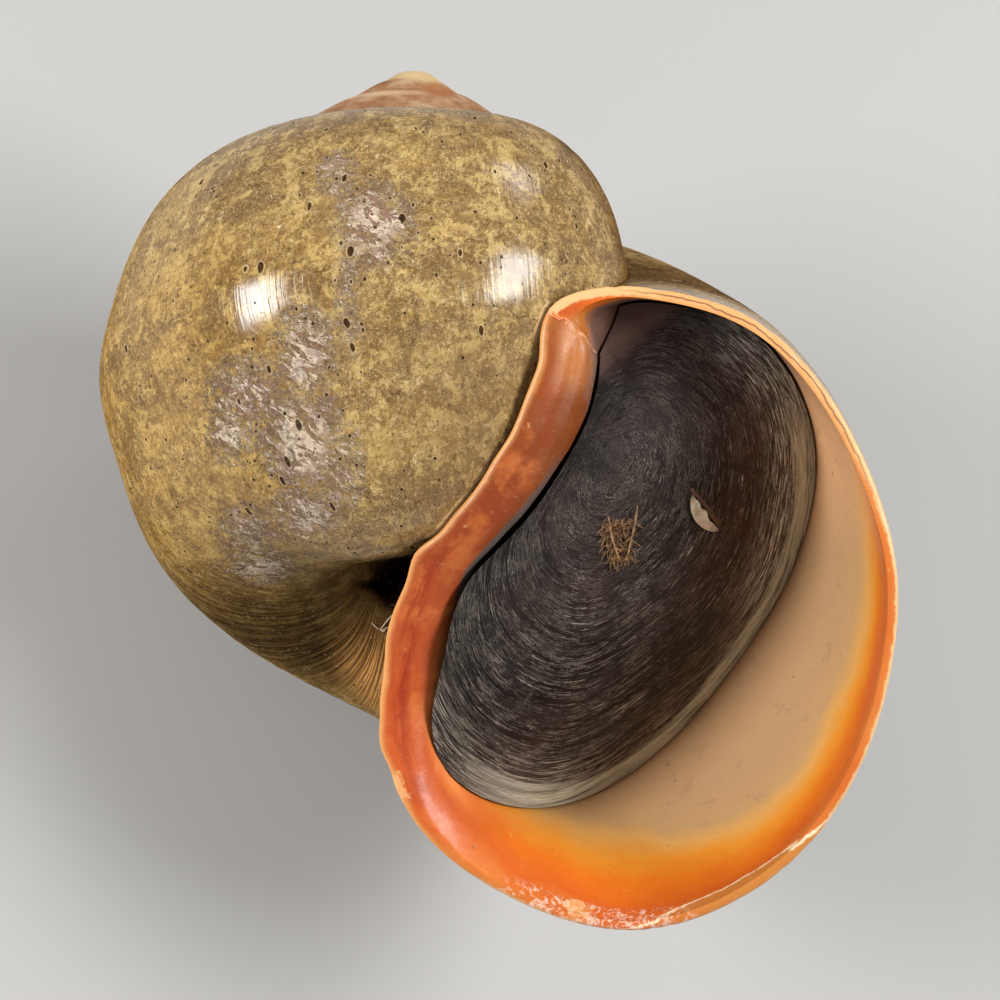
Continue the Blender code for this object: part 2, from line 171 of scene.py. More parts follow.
# Width of the orange band at places round the lip, clockwise from the suture in the mouth view.
ORANGE_PLACES = (0.0, 0.05, 0.16, 0.2, 0.24, 0.32, 0.37, 0.42, 0.48, 0.53, 0.66, 0.95, 1.0)
ORANGE_WIDTHS = (9.0, 2.2, 2.6, 6.0, 12.5, 14.0, 13.0, 11.5, 14.0, 17.0, 18.0, 26.0, 9.0)
# Stage of growth, counted back from the mouth, before which the spire is worn: its width after
# that, rounds of smoothing, how far it is filled out to a cone, and which share of its points
# lie inside that cone.
SPIRE_WORN_FROM = 7.2
SPIRE_SCALE = 0.9
SPIRE_SMOOTHED = 14
SPIRE_FILLED = 0.8
SPIRE_INSIDE = 88
# Colours of the mouth inward from the edge of the outer lip, and round the inner lip, where the
# darker stops toward the suture are partly painted shade.
OUTER_LIP_COLOURS = (
    (0.0, (0.58, 0.18, 0.033)), (0.11, (0.55, 0.1, 0.01)), (0.24, (0.66, 0.155, 0.009)),
    (0.36, (0.72, 0.265, 0.025)), (0.46, (0.66, 0.34, 0.09)), (0.58, (0.5, 0.3, 0.135)),
    (0.8, (0.46, 0.275, 0.14)),
)
INNER_LIP_COLOURS = (
    (0.64, (0.48, 0.085, 0.008)), (0.7, (0.5, 0.09, 0.015)), (0.76, (0.42, 0.07, 0.012)),
    (0.83, (0.33, 0.06, 0.014)), (0.89, (0.23, 0.04, 0.009)), (0.95, (0.22, 0.05, 0.008)),
    (1.0, (0.3, 0.09, 0.016)),
)
# Bead at the tip of the spire, in coil axes: its centre, its radii, the angle from its poles to
# the first rings, and its rings and columns.
TIP_CENTRE = (0.75, -0.3, -4.45)
TIP_RADII = (3.1, 3.1, 3.0)
TIP_POLE = 0.12
TIP_RINGS = 22
TIP_COLUMNS = 36
# Deep cleft between the base of the whorl and the inner lip, sunk and painted with shade: its upper
# edge, across and up, with its width below each point.
CLEFT = ((-7.8, -68.9, 0.3), (-4.4, -68.6, 2.0), (-1.9, -66.9, 6.0), (1.0, -64.4, 6.0))
CLEFT_DEPTH = 1.7
# Groove in the inner lip: its middle and spread round the lip, its distance from the edge, its
# half-width and its depth; and how far the edge of the inner lip waves in and out.
GROOVE = (0.95, 0.07, 4.6, 0.9, 0.45)
EDGE_WAVES = 0.35

# ---- operculum and debris
OPERCULUM_CELL = 0.46
OPERCULUM_MARGIN = 1.0
OPERCULUM_GAP = 0.4
OPERCULUM_POINTS = 240
OPERCULUM_DEPTHS = (-30.0, 40.0)
# Where its growth rings start, across and up.
NUCLEUS = (25.5, -53.0)
RINGS_ACROSS = 30.0
RING_SPACING = 1.6
RING_HEIGHT = 0.11
# A direction that no strand of the debris runs along.
TUBE_HELPER = (0.3, 0.5, 0.8)
# Tuft of fibres: middle, half-width, half-height, and how many.
TUFT = (26.4, -63.4)
TUFT_HALF = (1.9, 2.7)
TUFT_FIBRES = 320
TUFT_SEED = 21
TUFT_STALKS = (
    ((24.9, -60.4), (25.4, -63.2), (26.5, -66.2)),
    ((28.6, -59.2), (28.3, -61.6), (27.3, -66.0)),
)
# Half-moon chip of pale film: its two ends, how far it bulges, and its thickness.
CHIP_ENDS = ((35.8, -57.8), (39.7, -62.4))
CHIP_BULGE = 1.75
CHIP_THICK = 0.14
CHIP_ROWS = 13
CHIP_COLUMNS = 33
# Pale threads by the umbilicus, across and up.
THREADS = (
    ((-5.4, -74.6), (-4.9, -75.1), (-4.4, -75.5)),
    ((-4.2, -75.5), (-3.7, -74.8), (-2.9, -73.8), (-2.3, -73.5)),
    ((-4.3, -75.4), (-3.9, -75.7), (-3.6, -75.6)),
    ((-3.8, -75.5), (-3.2, -75.2), (-2.6, -75.4)),
)
THREADS_THICK = (0.09, 0.1, 0.2, 0.07)
# Each piece of debris: name, slot, and its material's name, dark and light colour, scale of the
# mottling per millimetre and roughness.
DEBRIS_LOOKS = (
    ("fibre_tuft", "operculum", "dry_fibre", (0.07, 0.03, 0.009), (0.34, 0.19, 0.08), 1.2, 0.6),
    ("pale_chip", "operculum", "pale_film", (0.3, 0.25, 0.17), (0.56, 0.5, 0.38), 0.8, 0.4),
    ("brown_bristle", "operculum", "brown_bristle", (0.05, 0.022, 0.012), (0.11, 0.05, 0.025), 1.5,
     0.4),
    ("pale_threads", "shell", "pale_thread", (0.45, 0.34, 0.22), (0.72, 0.62, 0.46), 2.0, 0.5),
)

# ---- camera, lights and floor
# Across, up and toward the viewer, in millimetres of the mouth view.
CAMERA_PLACE = (11.53, -58.45, 277.2)
CAMERA_LENS = 74.25
# Lights: direction from the shell, distance, width, height, watts, colour.
LIGHTS = (
    ((-0.86, 0.02, 0.48), 0.62, 0.3, 0.17, 4.6, (1.0, 0.985, 0.96)),
    ((0.66, -0.08, 0.70), 0.70, 0.44, 0.24, 6.2, (1.0, 0.985, 0.96)),
    ((0.62, 0.62, 0.48), 0.80, 0.2, 0.16, 0.7, (1.0, 0.98, 0.95)),
)
WORLD_COLOUR = (1.0, 0.99, 0.96)
WORLD_STRENGTH = 0.3
FLOOR_SIZE = 3.0
FLOOR_COLOUR = (0.38, 0.38, 0.38)
FLOOR_ROUGHNESS = 0.9


def smooth_step(x):
    x = np.clip(x, 0.0, 1.0)
    return x * x * (3.0 - 2.0 * x)


def share_near(place, middle, spread, sharpness=1.0):
    """1 around one place on a ring, easing to 0 at the given spread on either side of it."""
    apart = np.abs((place - middle + 0.5) % 1.0 - 0.5)
    return smooth_step(sharpness * (1.0 - apart / spread))


def places(count):
    """Places of the points of a ring, from 0 up to 1."""
    return np.arange(count) / count


def closed_curve(points, count):
    """Smooth closed curve through the points, as count points evenly spaced along it."""
    p = np.asarray(points, float)
    n = len(p)
    step = np.sqrt(np.linalg.norm(np.roll(p, -1, 0) - p, axis=1))
    before = np.roll(step, 1)
    matrix = np.zeros((n, n))
    for i in range(n):
        matrix[i, i - 1] = before[i]
        matrix[i, i] = 2.0 * (before[i] + step[i])
        matrix[i, (i + 1) % n] = step[i]
    slope = (np.roll(p, -1, 0) - p) / step[:, None]
    bend = np.linalg.solve(matrix, 6.0 * (slope - np.roll(slope, 1, 0)))
    dense = []
    for i in range(n):
        j = (i + 1) % n
        h = step[i]
        t = np.linspace(0.0, h, SPAN_POINTS, endpoint=False)[:, None]
        dense.append(
            bend[i] * (h - t) ** 3 / (6 * h)
            + bend[j] * t**3 / (6 * h)
            + (p[i] / h - bend[i] * h / 6) * (h - t)
            + (p[j] / h - bend[j] * h / 6) * t
        )
    return evenly_spaced(np.vstack(dense), count)


def evenly_spaced(loop, count):
    """A closed polyline resampled by length, from its first point."""
    closed = np.vstack([loop, loop[:1]])
    length = np.r_[0.0, np.cumsum(np.linalg.norm(np.diff(closed, axis=0), axis=1))]
    at = np.linspace(0.0, length[-1], count, endpoint=False)
    return np.stack([np.interp(at, length, closed[:, k]) for k in range(closed.shape[1])], 1)


def from_mouth_view(p):
    """Across, up and toward the mouth's side -> coil axes (axis up, mouth toward -Y)."""
    c, s = math.cos(COIL_ROLL), math.sin(COIL_ROLL)
    x = p[..., 0] * c + p[..., 1] * s
    y = -p[..., 0] * s + p[..., 1] * c
    cb, sb = math.cos(COIL_LEAN), math.sin(COIL_LEAN)
    out = p[..., 2] * cb + y * sb
    up = y * cb - p[..., 2] * sb
    return np.stack([x, -out, up], -1)


def to_mouth_view(p):
    """The reverse of from_mouth_view."""
    cb, sb = math.cos(COIL_LEAN), math.sin(COIL_LEAN)
    out = -p[..., 1]
    toward = out * cb - p[..., 2] * sb
    y = p[..., 2] * cb + out * sb
    c, s = math.cos(COIL_ROLL), math.sin(COIL_ROLL)
    return np.stack([p[..., 0] * c - y * s, p[..., 0] * s + y * c, toward], -1)


def lip_ring(count):
    """Edge of the mouth in coil axes."""
    outline = np.array(LIP_OUTLINE)
    height = (
        LIP_HEIGHT
        + LIP_SLOPES[0] * (outline[:, 0] - LIP_REFERENCE[0])
        + LIP_SLOPES[1] * (outline[:, 1] - LIP_REFERENCE[1])
    )
    ring = closed_curve(np.c_[outline, height], count)
    ring[:, 2] += PARIETAL_RISE * share_near(places(count), PARIETAL_PLACE, PARIETAL_SPREAD)
    return from_mouth_view(ring)


def whorl_ring(count, start):
    """Cross-section of the last whorl in coil axes, clockwise from the point nearest start."""
    radius = np.array(WHORL_RADII)
    corner = np.linspace(0.0, 2 * math.pi, len(radius), endpoint=False)
    section = closed_curve(np.c_[radius * np.cos(corner), radius * np.sin(corner)], SECTION_POINTS)
    rho = WHORL_CENTRE[0] + section[:, 0]
    z = WHORL_CENTRE[1] + section[:, 1]
    limit = UMBILICUS_RADIUS + UMBILICUS_EASING
    eased = UMBILICUS_RADIUS + UMBILICUS_EASING * np.exp((rho - limit) / UMBILICUS_EASING)
    rho = np.where(rho < limit, eased, rho)
    lean = (
        GROWTH_LINE_LEAN[0]
        + GROWTH_LINE_LEAN[1] * section[:, 1] / WHORL_HALF_HEIGHT
        + GROWTH_LINE_LEAN[2] * (rho - WHORL_CENTRE[0]) / WHORL_HALF_WIDTH
    )
    ring = np.stack([rho * np.cos(-lean), rho * np.sin(-lean), z], 1)[::-1]
    first = np.argmin(np.linalg.norm(ring - start, axis=1))
    return evenly_spaced(np.roll(ring, -first, 0), count)


def growth_rings(stages, count):
    """Rings of the outer surface in coil axes, at stages in radians of growth, 0 at the mouth."""
    lip = lip_ring(count)
    ring = whorl_ring(count, lip[0])
    stages = np.asarray(stages, float)
    rho = np.hypot(ring[:, 0], ring[:, 1])
    angle = np.arctan2(ring[:, 2] - WHORL_CENTRE[1], rho - WHORL_CENTRE[0])
    off_base = np.abs((angle - SWELL_ANGLE + math.pi) % (2 * math.pi) - math.pi)
    around = smooth_step(1.0 - off_base / SWELL_WIDTH)
    along = smooth_step(1.0 - np.abs(stages - SWELL_STAGE) / SWELL_REACH)
    columella = share_near(places(count), COLUMELLA_PLACE, COLUMELLA_SPREAD)
    reach = LIP_BLEND + (COLUMELLA_BLEND - LIP_BLEND) * columella
    blend = smooth_step(1.0 + stages[:, None] / reach)[..., None]
    rings = (1.0 - blend) * ring + blend * lip
    rings[..., 2] -= SWELL * along[:, None] * around
    size = np.exp(GROWTH_RATE * stages)[:, None]
    c = np.cos(-stages)[:, None]
    s = np.sin(-stages)[:, None]
    x = size * (rings[..., 0] * c - rings[..., 1] * s)
    y = size * (rings[..., 0] * s + rings[..., 1] * c)
    return np.stack([x, y, size * rings[..., 2]], -1)


def outward_normals(rings):
    """Unit normals of a tube given as rings along it."""
    around = np.roll(rings, -1, 1) - np.roll(rings, 1, 1)
    along = np.gradient(rings, axis=0)
    normal = np.cross(around, along)
    normal /= np.linalg.norm(normal, axis=2, keepdims=True) + 1e-12
    middle = rings.mean(axis=1, keepdims=True)
    if ((rings - middle) * normal).sum() < 0:
        normal = -normal
    return normal


def stage_steps(first, last, per_radian):
    count = max(2, int(round((last - first) * per_radian)) + 1)
    return np.linspace(first, last, count)


def wall_thickness(stages, count):
    """Thickness of the wall at each stage and each place round the ring."""
    stages = np.asarray(stages)[:, None]
    wall = WALL * np.exp(WALL_GROWTH * np.minimum(stages, 0.0))
    wall = WALL_AT_LIP + (wall - WALL_AT_LIP) * smooth_step(-stages / LIP_TAPER)
    inner_lip = share_near(places(count), INNER_LIP_PLACE, INNER_LIP_SPREAD, INNER_LIP_SHARPNESS)
    near_mouth = smooth_step(1.0 + stages / INNER_LIP_REACH)
    return wall + (INNER_LIP_WALL - WALL_AT_LIP) * inner_lip * near_mouth


# ---- bodies in Blender
def closed_object(name, points, faces, slot=SKIN_SLOT):
    """A named object from points and faces, with its faces turned outward."""
    mesh = bpy.data.meshes.new(name)
    mesh.from_pydata(points, [], faces)
    work = bmesh.new()
    work.from_mesh(mesh)
    if work.calc_volume(signed=True) < 0:
        bmesh.ops.reverse_faces(work, faces=work.faces)
    work.to_mesh(mesh)
    work.free()
    mesh.polygons.foreach_set("material_index", [slot] * len(mesh.polygons))
    ob = bpy.data.objects.new(name, mesh)
    bpy.context.scene.collection.objects.link(ob)
    return ob


def ringed_faces(rows, columns, start=0):
    """Faces over rings of points, with a fan to one more point at each end."""
    end = start + rows * columns
    last = end - columns
    faces = []
    for j in range(columns):
        k = (j + 1) % columns
        for row in range(start, last, columns):
            faces.append((row + j, row + k, row + columns + k, row + columns + j))
        faces.append((start + k, start + j, end))
        faces.append((last + j, last + k, end + 1))
    return faces


def solid_object(name, rings, slot=SKIN_SLOT):
    """Closed body from rings along it."""
    points = np.concatenate([rings.reshape(-1, 3), rings[[0, -1]].mean(axis=1)]) * MM
    return closed_object(name, points.tolist(), ringed_faces(*rings.shape[:2]), slot)


def combine(ob, other, operation, with_itself=False):
    """Boolean of two bodies, applied; the second is used up."""
    step = ob.modifiers.new(operation.lower(), "BOOLEAN")
    step.operation = operation
    step.solver = "EXACT"
    step.use_self = with_itself
    step.object = other
    evaluated = ob.evaluated_get(bpy.context.evaluated_depsgraph_get())
    result = bpy.data.meshes.new_from_object(evaluated)
    ob.modifiers.clear()
    old = ob.data
    ob.data = result
    bpy.data.meshes.remove(old)
    bpy.data.objects.remove(other, do_unlink=True)


def smoothed(points, edges, weight, rounds):
    """Points eased toward their neighbours' average, each by its weight, a number of times."""
    count = len(points)
    degree = np.bincount(edges.ravel(), minlength=count)[:, None]
    for _ in range(rounds):
        total = np.stack(
            [
                np.bincount(edges[:, 0], points[edges[:, 1], k], count)
                + np.bincount(edges[:, 1], points[edges[:, 0], k], count)
                for k in range(3)
            ],
            1,
        )
        points = points + weight[:, None] * (total / degree - points)
    return points


def read(items, name, width=3, kind=float):
    """One property of all the items of a mesh, a row for each item."""
    values = np.empty(len(items) * width, kind)
    items.foreach_get(name, values)
    return values.reshape(-1, width)


def edge_pairs(mesh):
    return read(mesh.edges, "vertices", 2, int)


def mesh_points(mesh):
    return read(mesh.vertices, "co")


def mesh_normals(mesh):
    return read(mesh.vertex_normals, "vector")


def set_points(mesh, points):
    mesh.vertices.foreach_set("co", np.asarray(points, float).ravel())
    mesh.update()


def set_attribute(mesh, name, *parts):
    """Up to three numbers for each vertex, which the materials read by name."""
    values = np.zeros((len(mesh.vertices), 3))
    for k, part in enumerate(parts):
        values[:, k] = part
    layer = mesh.attributes.new(name, "FLOAT_VECTOR", "POINT")
    layer.data.foreach_set("vector", values.ravel())


def nearest(cloud, points):
    """For each point, the index of the nearest point of the cloud, and its distance."""
    tree = KDTree(len(cloud))
    for index, p in enumerate(cloud):
        tree.insert(p, index)
    tree.balance()
    found = [tree.find(p)[1:] for p in points]
    return np.array([f[0] for f in found]), np.array([f[1] for f in found])


def noise_at(points, scale, seed=0.0):
    """Smooth noise, about -1 to 1, at the points; scale is cycles per millimetre on each axis."""
    scaled = np.asarray(points) * np.asarray(scale) + seed
    return np.array([noise.noise(p) for p in scaled])


def waves(values, scale, seed):
    """Smooth noise along one number."""
    return noise_at(np.stack([values, 0 * values, 0 * values], 1), scale, seed)


# ---- the shell
def outer_rings():
    stages = np.concatenate([stage_steps(*part) for part in OUTER_STEPS])
    return stages, growth_rings(stages, OUTER_COLUMNS)


def lip_frame(ring):
    """Inward direction at each point of the lip, within its plane, and the way the mouth faces."""
    middle = ring.mean(axis=0)
    around = np.roll(ring, -1, 0) - np.roll(ring, 1, 0)
    forward = np.cross(ring - middle, around).sum(axis=0)
    forward /= np.linalg.norm(forward)
    if forward[1] > 0:
        forward = -forward
    inward = np.cross(around, forward)
    inward /= np.linalg.norm(inward, axis=1, keepdims=True)
    if (inward * (middle - ring)).sum() < 0:
        inward = -inward
    return inward, forward


def whorls():
    """The outside of all the turns as one body, with the rounded edge of the lip."""
    stages, rings = outer_rings()
    inward, forward = lip_frame(rings[-1])
    edge = [rings[-1] + inward * across + forward * ahead for across, ahead in LIP_EDGE]
    body = solid_object("shell_surface", np.concatenate([rings, edge]))
    paint_rows(body, OUTER_COLUMNS, len(stages), MOUTH_SLOT)
    # The turns overlap, and a small core inside the last one lets the Boolean join them.
    core_rings = growth_rings(CORE_STAGES, CORE_COLUMNS)
    middle = core_rings.mean(axis=1, keepdims=True)
    core = solid_object("core", middle + (core_rings - middle) * CORE_SCALE)
    combine(body, core, "UNION", with_itself=True)
    combine(body, first_turn(), "UNION")
    return body


def first_turn():
    """A rounded bead where the turns begin, which closes the tip of the spire."""
    down = np.linspace(TIP_POLE, math.pi - TIP_POLE, TIP_RINGS)[:, None]
    about = np.linspace(0.0, 2 * math.pi, TIP_COLUMNS, endpoint=False)[None, :]
    ball = [np.sin(down) * np.cos(about), np.sin(down) * np.sin(about), np.cos(down) + 0 * about]
    return solid_object("first_turn", np.stack(ball, 2) * TIP_RADII + np.array(TIP_CENTRE))


def paint_rows(body, columns, first_row, slot):
    """Give the faces from one row of a ringed body on, and its last fan, another material."""
    starts = np.array([min(p.vertices) for p in body.data.polygons])
    index = np.where(starts >= (first_row - 1) * columns, slot, SKIN_SLOT)
    body.data.polygons.foreach_set("material_index", index)


def chamber(stages, count, reaches_mouth, inside=0.0):
    """The hollow over part of the growth, before the turns inside it are taken away."""
    rings = growth_rings(stages, count)
    normals = outward_normals(rings)
    inset = wall_thickness(stages, count) + inside
    inset[0] += CHAMBER_JOIN
    if not reaches_mouth:
        inset[-1] += CHAMBER_JOIN
    inner = rings - normals * inset[..., None]
    if reaches_mouth:
        forward = lip_frame(rings[-1])[1]
        inner = np.concatenate([inner, [inner[-1] + forward * ahead for ahead in CHAMBER_AHEAD]])
    return solid_object("chamber", inner, MOUTH_SLOT)


def earlier_turns(span, count, outside=0.0):
    """The turns a chamber wraps round, thickened by the callus laid on them."""
    rings = growth_rings(stage_steps(*span), count)
    return solid_object("earlier", rings + outward_normals(rings) * (CALLUS + outside), MOUTH_SLOT)


def hollow_space(spans, count, reaches_mouth, wrapped, inside=0.0):
    """A hollow in the shell, or a slimmer copy of it, with the turns it wraps round left out."""
    stages = np.concatenate([stage_steps(*span) for span in spans])
    space = chamber(stages, count, reaches_mouth, inside)
    for span in wrapped:
        combine(space, earlier_turns(span, count, inside), "DIFFERENCE")
    return space


def mouth_hollow(inside=0.0):
    return hollow_space(CHAMBER_STEPS, CHAMBER_COLUMNS, True, ROUND_CHAMBER_STEPS, inside)


def inner_hollow():
    return hollow_space(INNER_STEPS, INNER_COLUMNS, False, ROUND_INNER_STEPS)


def frame_from_coil(body):
    """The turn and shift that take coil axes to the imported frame."""
    view = Matrix([to_mouth_view(axis) for axis in np.eye(3)]).transposed().to_4x4()
    turn = Matrix.Rotation(LIE_ABOUT_X, 4, "X") @ Matrix.Rotation(LIE_ABOUT_Y, 4, "Y")
    points = mesh_points(body.data) @ np.array((turn @ view).to_3x3()).T
    low, high = (np.array(corner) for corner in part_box("shell"))
    shift = (low + high - points.min(axis=0) - points.max(axis=0)) / 2
    shift[2] = high[2] - points[:, 2].max()
    return Matrix.Translation(shift) @ turn, view


def growth_place(points, stages, grid, columns):
    """For points on a grown surface: distance along the growth, distance round it, and stage."""
    index, _ = nearest(grid.reshape(-1, 3), points)
    stage = stages[np.minimum(index // columns, len(stages) - 1)]
    place = (index % columns) / columns
    size = np.exp(GROWTH_RATE * stage)
    return PATH_RADIUS / GROWTH_RATE * size, (place - 0.5) * RING_LENGTH * size, stage


def lip_place(points):
    """For each point: its distance from the edge of the lip, and the place on the lip beside it."""
    ring = lip_ring(LIP_POINTS)
    index, distance = nearest(ring, points)
    return distance, index / len(ring)


def material_vertices(mesh, slot):
    """Which vertices belong to a face of that slot."""
    mask = np.zeros(len(mesh.vertices), bool)
    for polygon in mesh.polygons:
        if polygon.material_index == slot:
            mask[list(polygon.vertices)] = True
    return mask


def oval(view, across, up, half_width, half_height):
    """1 at the middle of an oval seen from the mouth's side, 0 at its edge and on the far side."""
    x = (view[:, 0] - across) / half_width
    y = (view[:, 1] - up) / half_height
    return np.clip(1.0 - np.hypot(x, y), 0.0, 1.0) * (view[:, 2] > 5.0)


def refine(mesh, chosen):
    """Divide the faces whose vertices are all chosen into four."""
    work = bmesh.new()
    work.from_mesh(mesh)
    work.verts.ensure_lookup_table()
    faces = [f for f in work.faces if all(chosen[v.index] for v in f.verts)]
    edges = list({e for f in faces for e in f.edges})
    bmesh.ops.subdivide_edges(work, edges=edges, cuts=1, use_grid_fill=True)
    work.to_mesh(mesh)
    work.free()


def covered(view, spots, least, reach, steepness):
    """How strongly the strongest of the named places covers each point."""
    share = np.full(len(view), least)
    for across, up, half_width, half_height, strength in spots:
        spot = oval(view, across, up, half_width * reach, half_height * reach)
        share = np.maximum(share, strength * smooth_step(steepness * spot))
    return share


def worn_share(view, points):
    """How worn the skin is: the named places, and patches anywhere else on the shell."""
    share = covered(view, WORN_PLACES, 0.0, 1.55, 1.1)
    elsewhere = noise_at(points, 0.045, 11.3)
    away = smooth_step((6.0 - view[:, 2]) / 12.0)
    return np.maximum(share, 0.8 * smooth_step((elsewhere - 0.22) / 0.2) * away)


def pitted_share(view):
    """How densely the skin is pitted."""
    return covered(view, PIT_CLUSTERS, 0.25, 1.2, 3.0)


def skin_relief(coil, view, points, edge, worn):
    """Height of the outer surface over the smooth one."""
    along, around, stage = coil.T
    flat = np.stack([along, around, np.zeros(len(along))], 1)
    ridges = 0.045 * noise_at(flat, (0.35, 0.02, 1.0))
    ridges = ridges + 0.03 * noise_at(flat, (0.9, 0.04, 1.0), 3.7)
    base = smooth_step((-view[:, 1] - 66.0) / 12.0) * (view[:, 2] < 30.0)
    ridges = ridges + 0.07 * base * noise_at(flat, (0.7, 0.03, 1.0), 8.1)
    uneven = 0.12 * noise_at(points, 0.08, 2.2) + 0.03 * noise_at(points, 0.4, 6.6)
    flakes = worn * (0.10 * noise_at(points, 0.9, 4.4) + 0.06 * noise_at(points, 1.7, 9.9) - 0.08)
    calm = 1.0 - 0.8 * smooth_step((-stage - SPIRE_WORN_FROM) / 2.0)
    return (ridges + uneven + flakes) * calm * smooth_step(edge / 3.0)


def lip_chips(distance, place, forward, inward):
    """Shift of the vertices near the edge of the outer lip, where it is nicked."""
    along = place * LIP_LENGTH
    rough = waves(along, CHIP_SCALE, 1.9)
    fine = waves(along, CHIP_SCALE * 3.1, 7.3)
    nick = CHIP_DEPTH * smooth_step((rough - 0.12) / 0.3) + 0.18 * fine
    outer = (0.25 + 0.75 * smooth_step((0.2 - place) / 0.05)) * smooth_step((0.66 - place) / 0.03)
    near_edge = smooth_step(1.0 - distance / 1.3)
    amount = (nick * outer * near_edge)[:, None]
    inner = smooth_step((place - 0.68) / 0.05) * smooth_step((1.0 - place) / 0.04)
    wave = EDGE_WAVES * inner * smooth_step(1.0 - distance / 4.0)
    wave = wave * 2.0 * waves(along, 0.16, 4.4)
    return amount * (0.35 * inward - 0.95 * forward) + wave[:, None] * inward


def shell_surface():
    """The whole shell as one closed mesh in coil axes, with its attributes and relief."""
    body = whorls()
    combine(body, mouth_hollow(), "DIFFERENCE")
    combine(body, inner_hollow(), "DIFFERENCE")
    place_in_frame, view_turn = frame_from_coil(body)
    mesh = body.data
    points = mesh_points(mesh) / MM
    stages, rings = outer_rings()
    set_attribute(mesh, "coil", *growth_place(points, stages, rings, OUTER_COLUMNS))
    view = to_mouth_view(points)
    skin = material_vertices(mesh, SKIN_SLOT)
    refine(mesh, skin & (worn_share(view, points) > 0.1) & (view[:, 2] > 5.0))

    points = mesh_points(mesh) / MM
    skin = material_vertices(mesh, SKIN_SLOT)
    mouth = material_vertices(mesh, MOUTH_SLOT)
    points = worn_spire(points, mesh)
    points = round_inner_lip(points, mesh, mouth & ~skin)
    distance, place = lip_place(points)
    view = to_mouth_view(points)
    coil = read(mesh.attributes["coil"].data, "vector")
    worn = worn_share(view, points)
    set_points(mesh, points * MM)
    normals = mesh_normals(mesh)
    cleft = cleft_share(view)
    height = skin_relief(coil, view, points, distance, worn)
    height = np.where(skin, height * (1.0 - cleft), 0.0)
    facing = normals @ from_mouth_view(TOWARD)
    # The cleft's mask, which also paints shade there, and how far each point faces the viewer.
    set_attribute(mesh, "cleft", cleft * skin, facing)
    height += mouth_relief(points, distance, place) * (mouth & ~skin)
    ring = rings[-1]
    inward, forward = lip_frame(ring)
    beside = np.round(place * len(ring)).astype(int) % len(ring)
    points = points + normals * height[:, None]
    deepened = (cleft * skin * smooth_step(distance / 2.5))[:, None] * CLEFT_DEPTH
    points = points - deepened * from_mouth_view(TOWARD)
    points = points + lip_chips(distance, place, forward, inward[beside])
    set_points(mesh, points * MM)
    set_attribute(mesh, "lip", distance, place, distance / orange_width(place))
    set_attribute(mesh, "wear", worn, pitted_share(view), spire_share(coil[:, 2], points))
    set_attribute(mesh, "view", *view.T)
    return body, place_in_frame, view_turn


def widened(points, factor):
    """Points moved out from the axis of the coil."""
    return points * np.stack([factor, factor, np.ones_like(factor)], 1)


def worn_spire(points, mesh):
    """The spire worn down to an even cone, its sutures softened, a little narrower."""
    stage = read(mesh.attributes["coil"].data, "vector")[:, 2]
    weight = smooth_step((-stage - SPIRE_WORN_FROM) / 2.2)
    radius = np.hypot(points[:, 0], points[:, 1])
    depth = np.abs(points[:, 2])
    facing = (mesh_normals(mesh)[:, :2] * points[:, :2]).sum(axis=1) / np.maximum(radius, 0.05)
    outside = weight * material_vertices(mesh, SKIN_SLOT) * smooth_step((facing + 0.1) / 0.3)
    slope = np.percentile((radius / np.maximum(depth, 0.1))[outside > 0.9], SPIRE_INSIDE)
    even = slope * depth * (1.0 + 0.6 * np.exp(-depth / 0.8))
    filled = 1.0 + SPIRE_FILLED * outside * (even / np.maximum(radius, 0.05) - 1.0)
    points = widened(points, np.clip(filled, 0.6, 1.8))
    points = smoothed(points, edge_pairs(mesh), 0.5 * weight, SPIRE_SMOOTHED)
    return widened(points, 1.0 + (SPIRE_SCALE - 1.0) * weight)


def cleft_share(view):
    """1 inside the cleft under the base of the whorl, easing out below it; it sinks and paints
    shade there.
    """
    edge = np.array(CLEFT)
    top = np.interp(view[:, 0], edge[:, 0], edge[:, 1])
    width = np.interp(view[:, 0], edge[:, 0], edge[:, 2])
    below = top - view[:, 1]
    within = (view[:, 0] > edge[0, 0]) & (view[:, 0] < edge[-1, 0] + 6.0) & (view[:, 2] > 0.0)
    share = smooth_step(below / 0.9) * smooth_step((width - below) / (0.8 * width) + 0.2)
    return share * within


def round_inner_lip(points, mesh, free):
    """The inner lip's edge into the mouth, rounded."""
    distance, place = lip_place(points)
    on_inner_lip = smooth_step((place - 0.64) / 0.06) * smooth_step((1.04 - place) / 0.05)
    band = smooth_step((distance - 1.2) / 2.0) * smooth_step((11.0 - distance) / 3.0)
    weight = 0.6 * on_inner_lip * band * free
    return smoothed(points, edge_pairs(mesh), weight, INNER_LIP_ROUNDS)


def orange_width(place):
    """How far from the edge of the lip the orange reaches, in millimetres."""
    return np.interp(place, ORANGE_PLACES, ORANGE_WIDTHS)


def spire_share(stage, points):
    """How far the shell is worn to its limy layer toward the tip of the spire."""
    ragged = 0.5 * noise_at(points, 0.15, 5.5)
    return smooth_step((-stage + ragged - SPIRE_WORN_FROM) / 1.2)


def mouth_relief(points, distance, place):
    """Slight waves in the glaze of the mouth, and a ridge along the outer lip."""
    outer = smooth_step((0.64 - place) / 0.05) * smooth_step((place - 0.2) / 0.05)
    ridge = 0.12 * np.exp(-(((distance - 2.0) / 0.45) ** 2)) * outer
    inner = smooth_step((place - 0.66) / 0.05)
    uneven = 0.05 * noise_at(points, 0.25, 1.1) + 0.16 * inner * noise_at(points, 0.3, 3.3)
    middle, spread, from_edge, half_width, deep = GROOVE
    across_groove = np.exp(-(((distance - from_edge) / half_width) ** 2))
    groove = deep * share_near(place, middle, spread) * across_groove
    return (ridge + uneven - groove) * smooth_step((distance - 0.5) / 1.5)


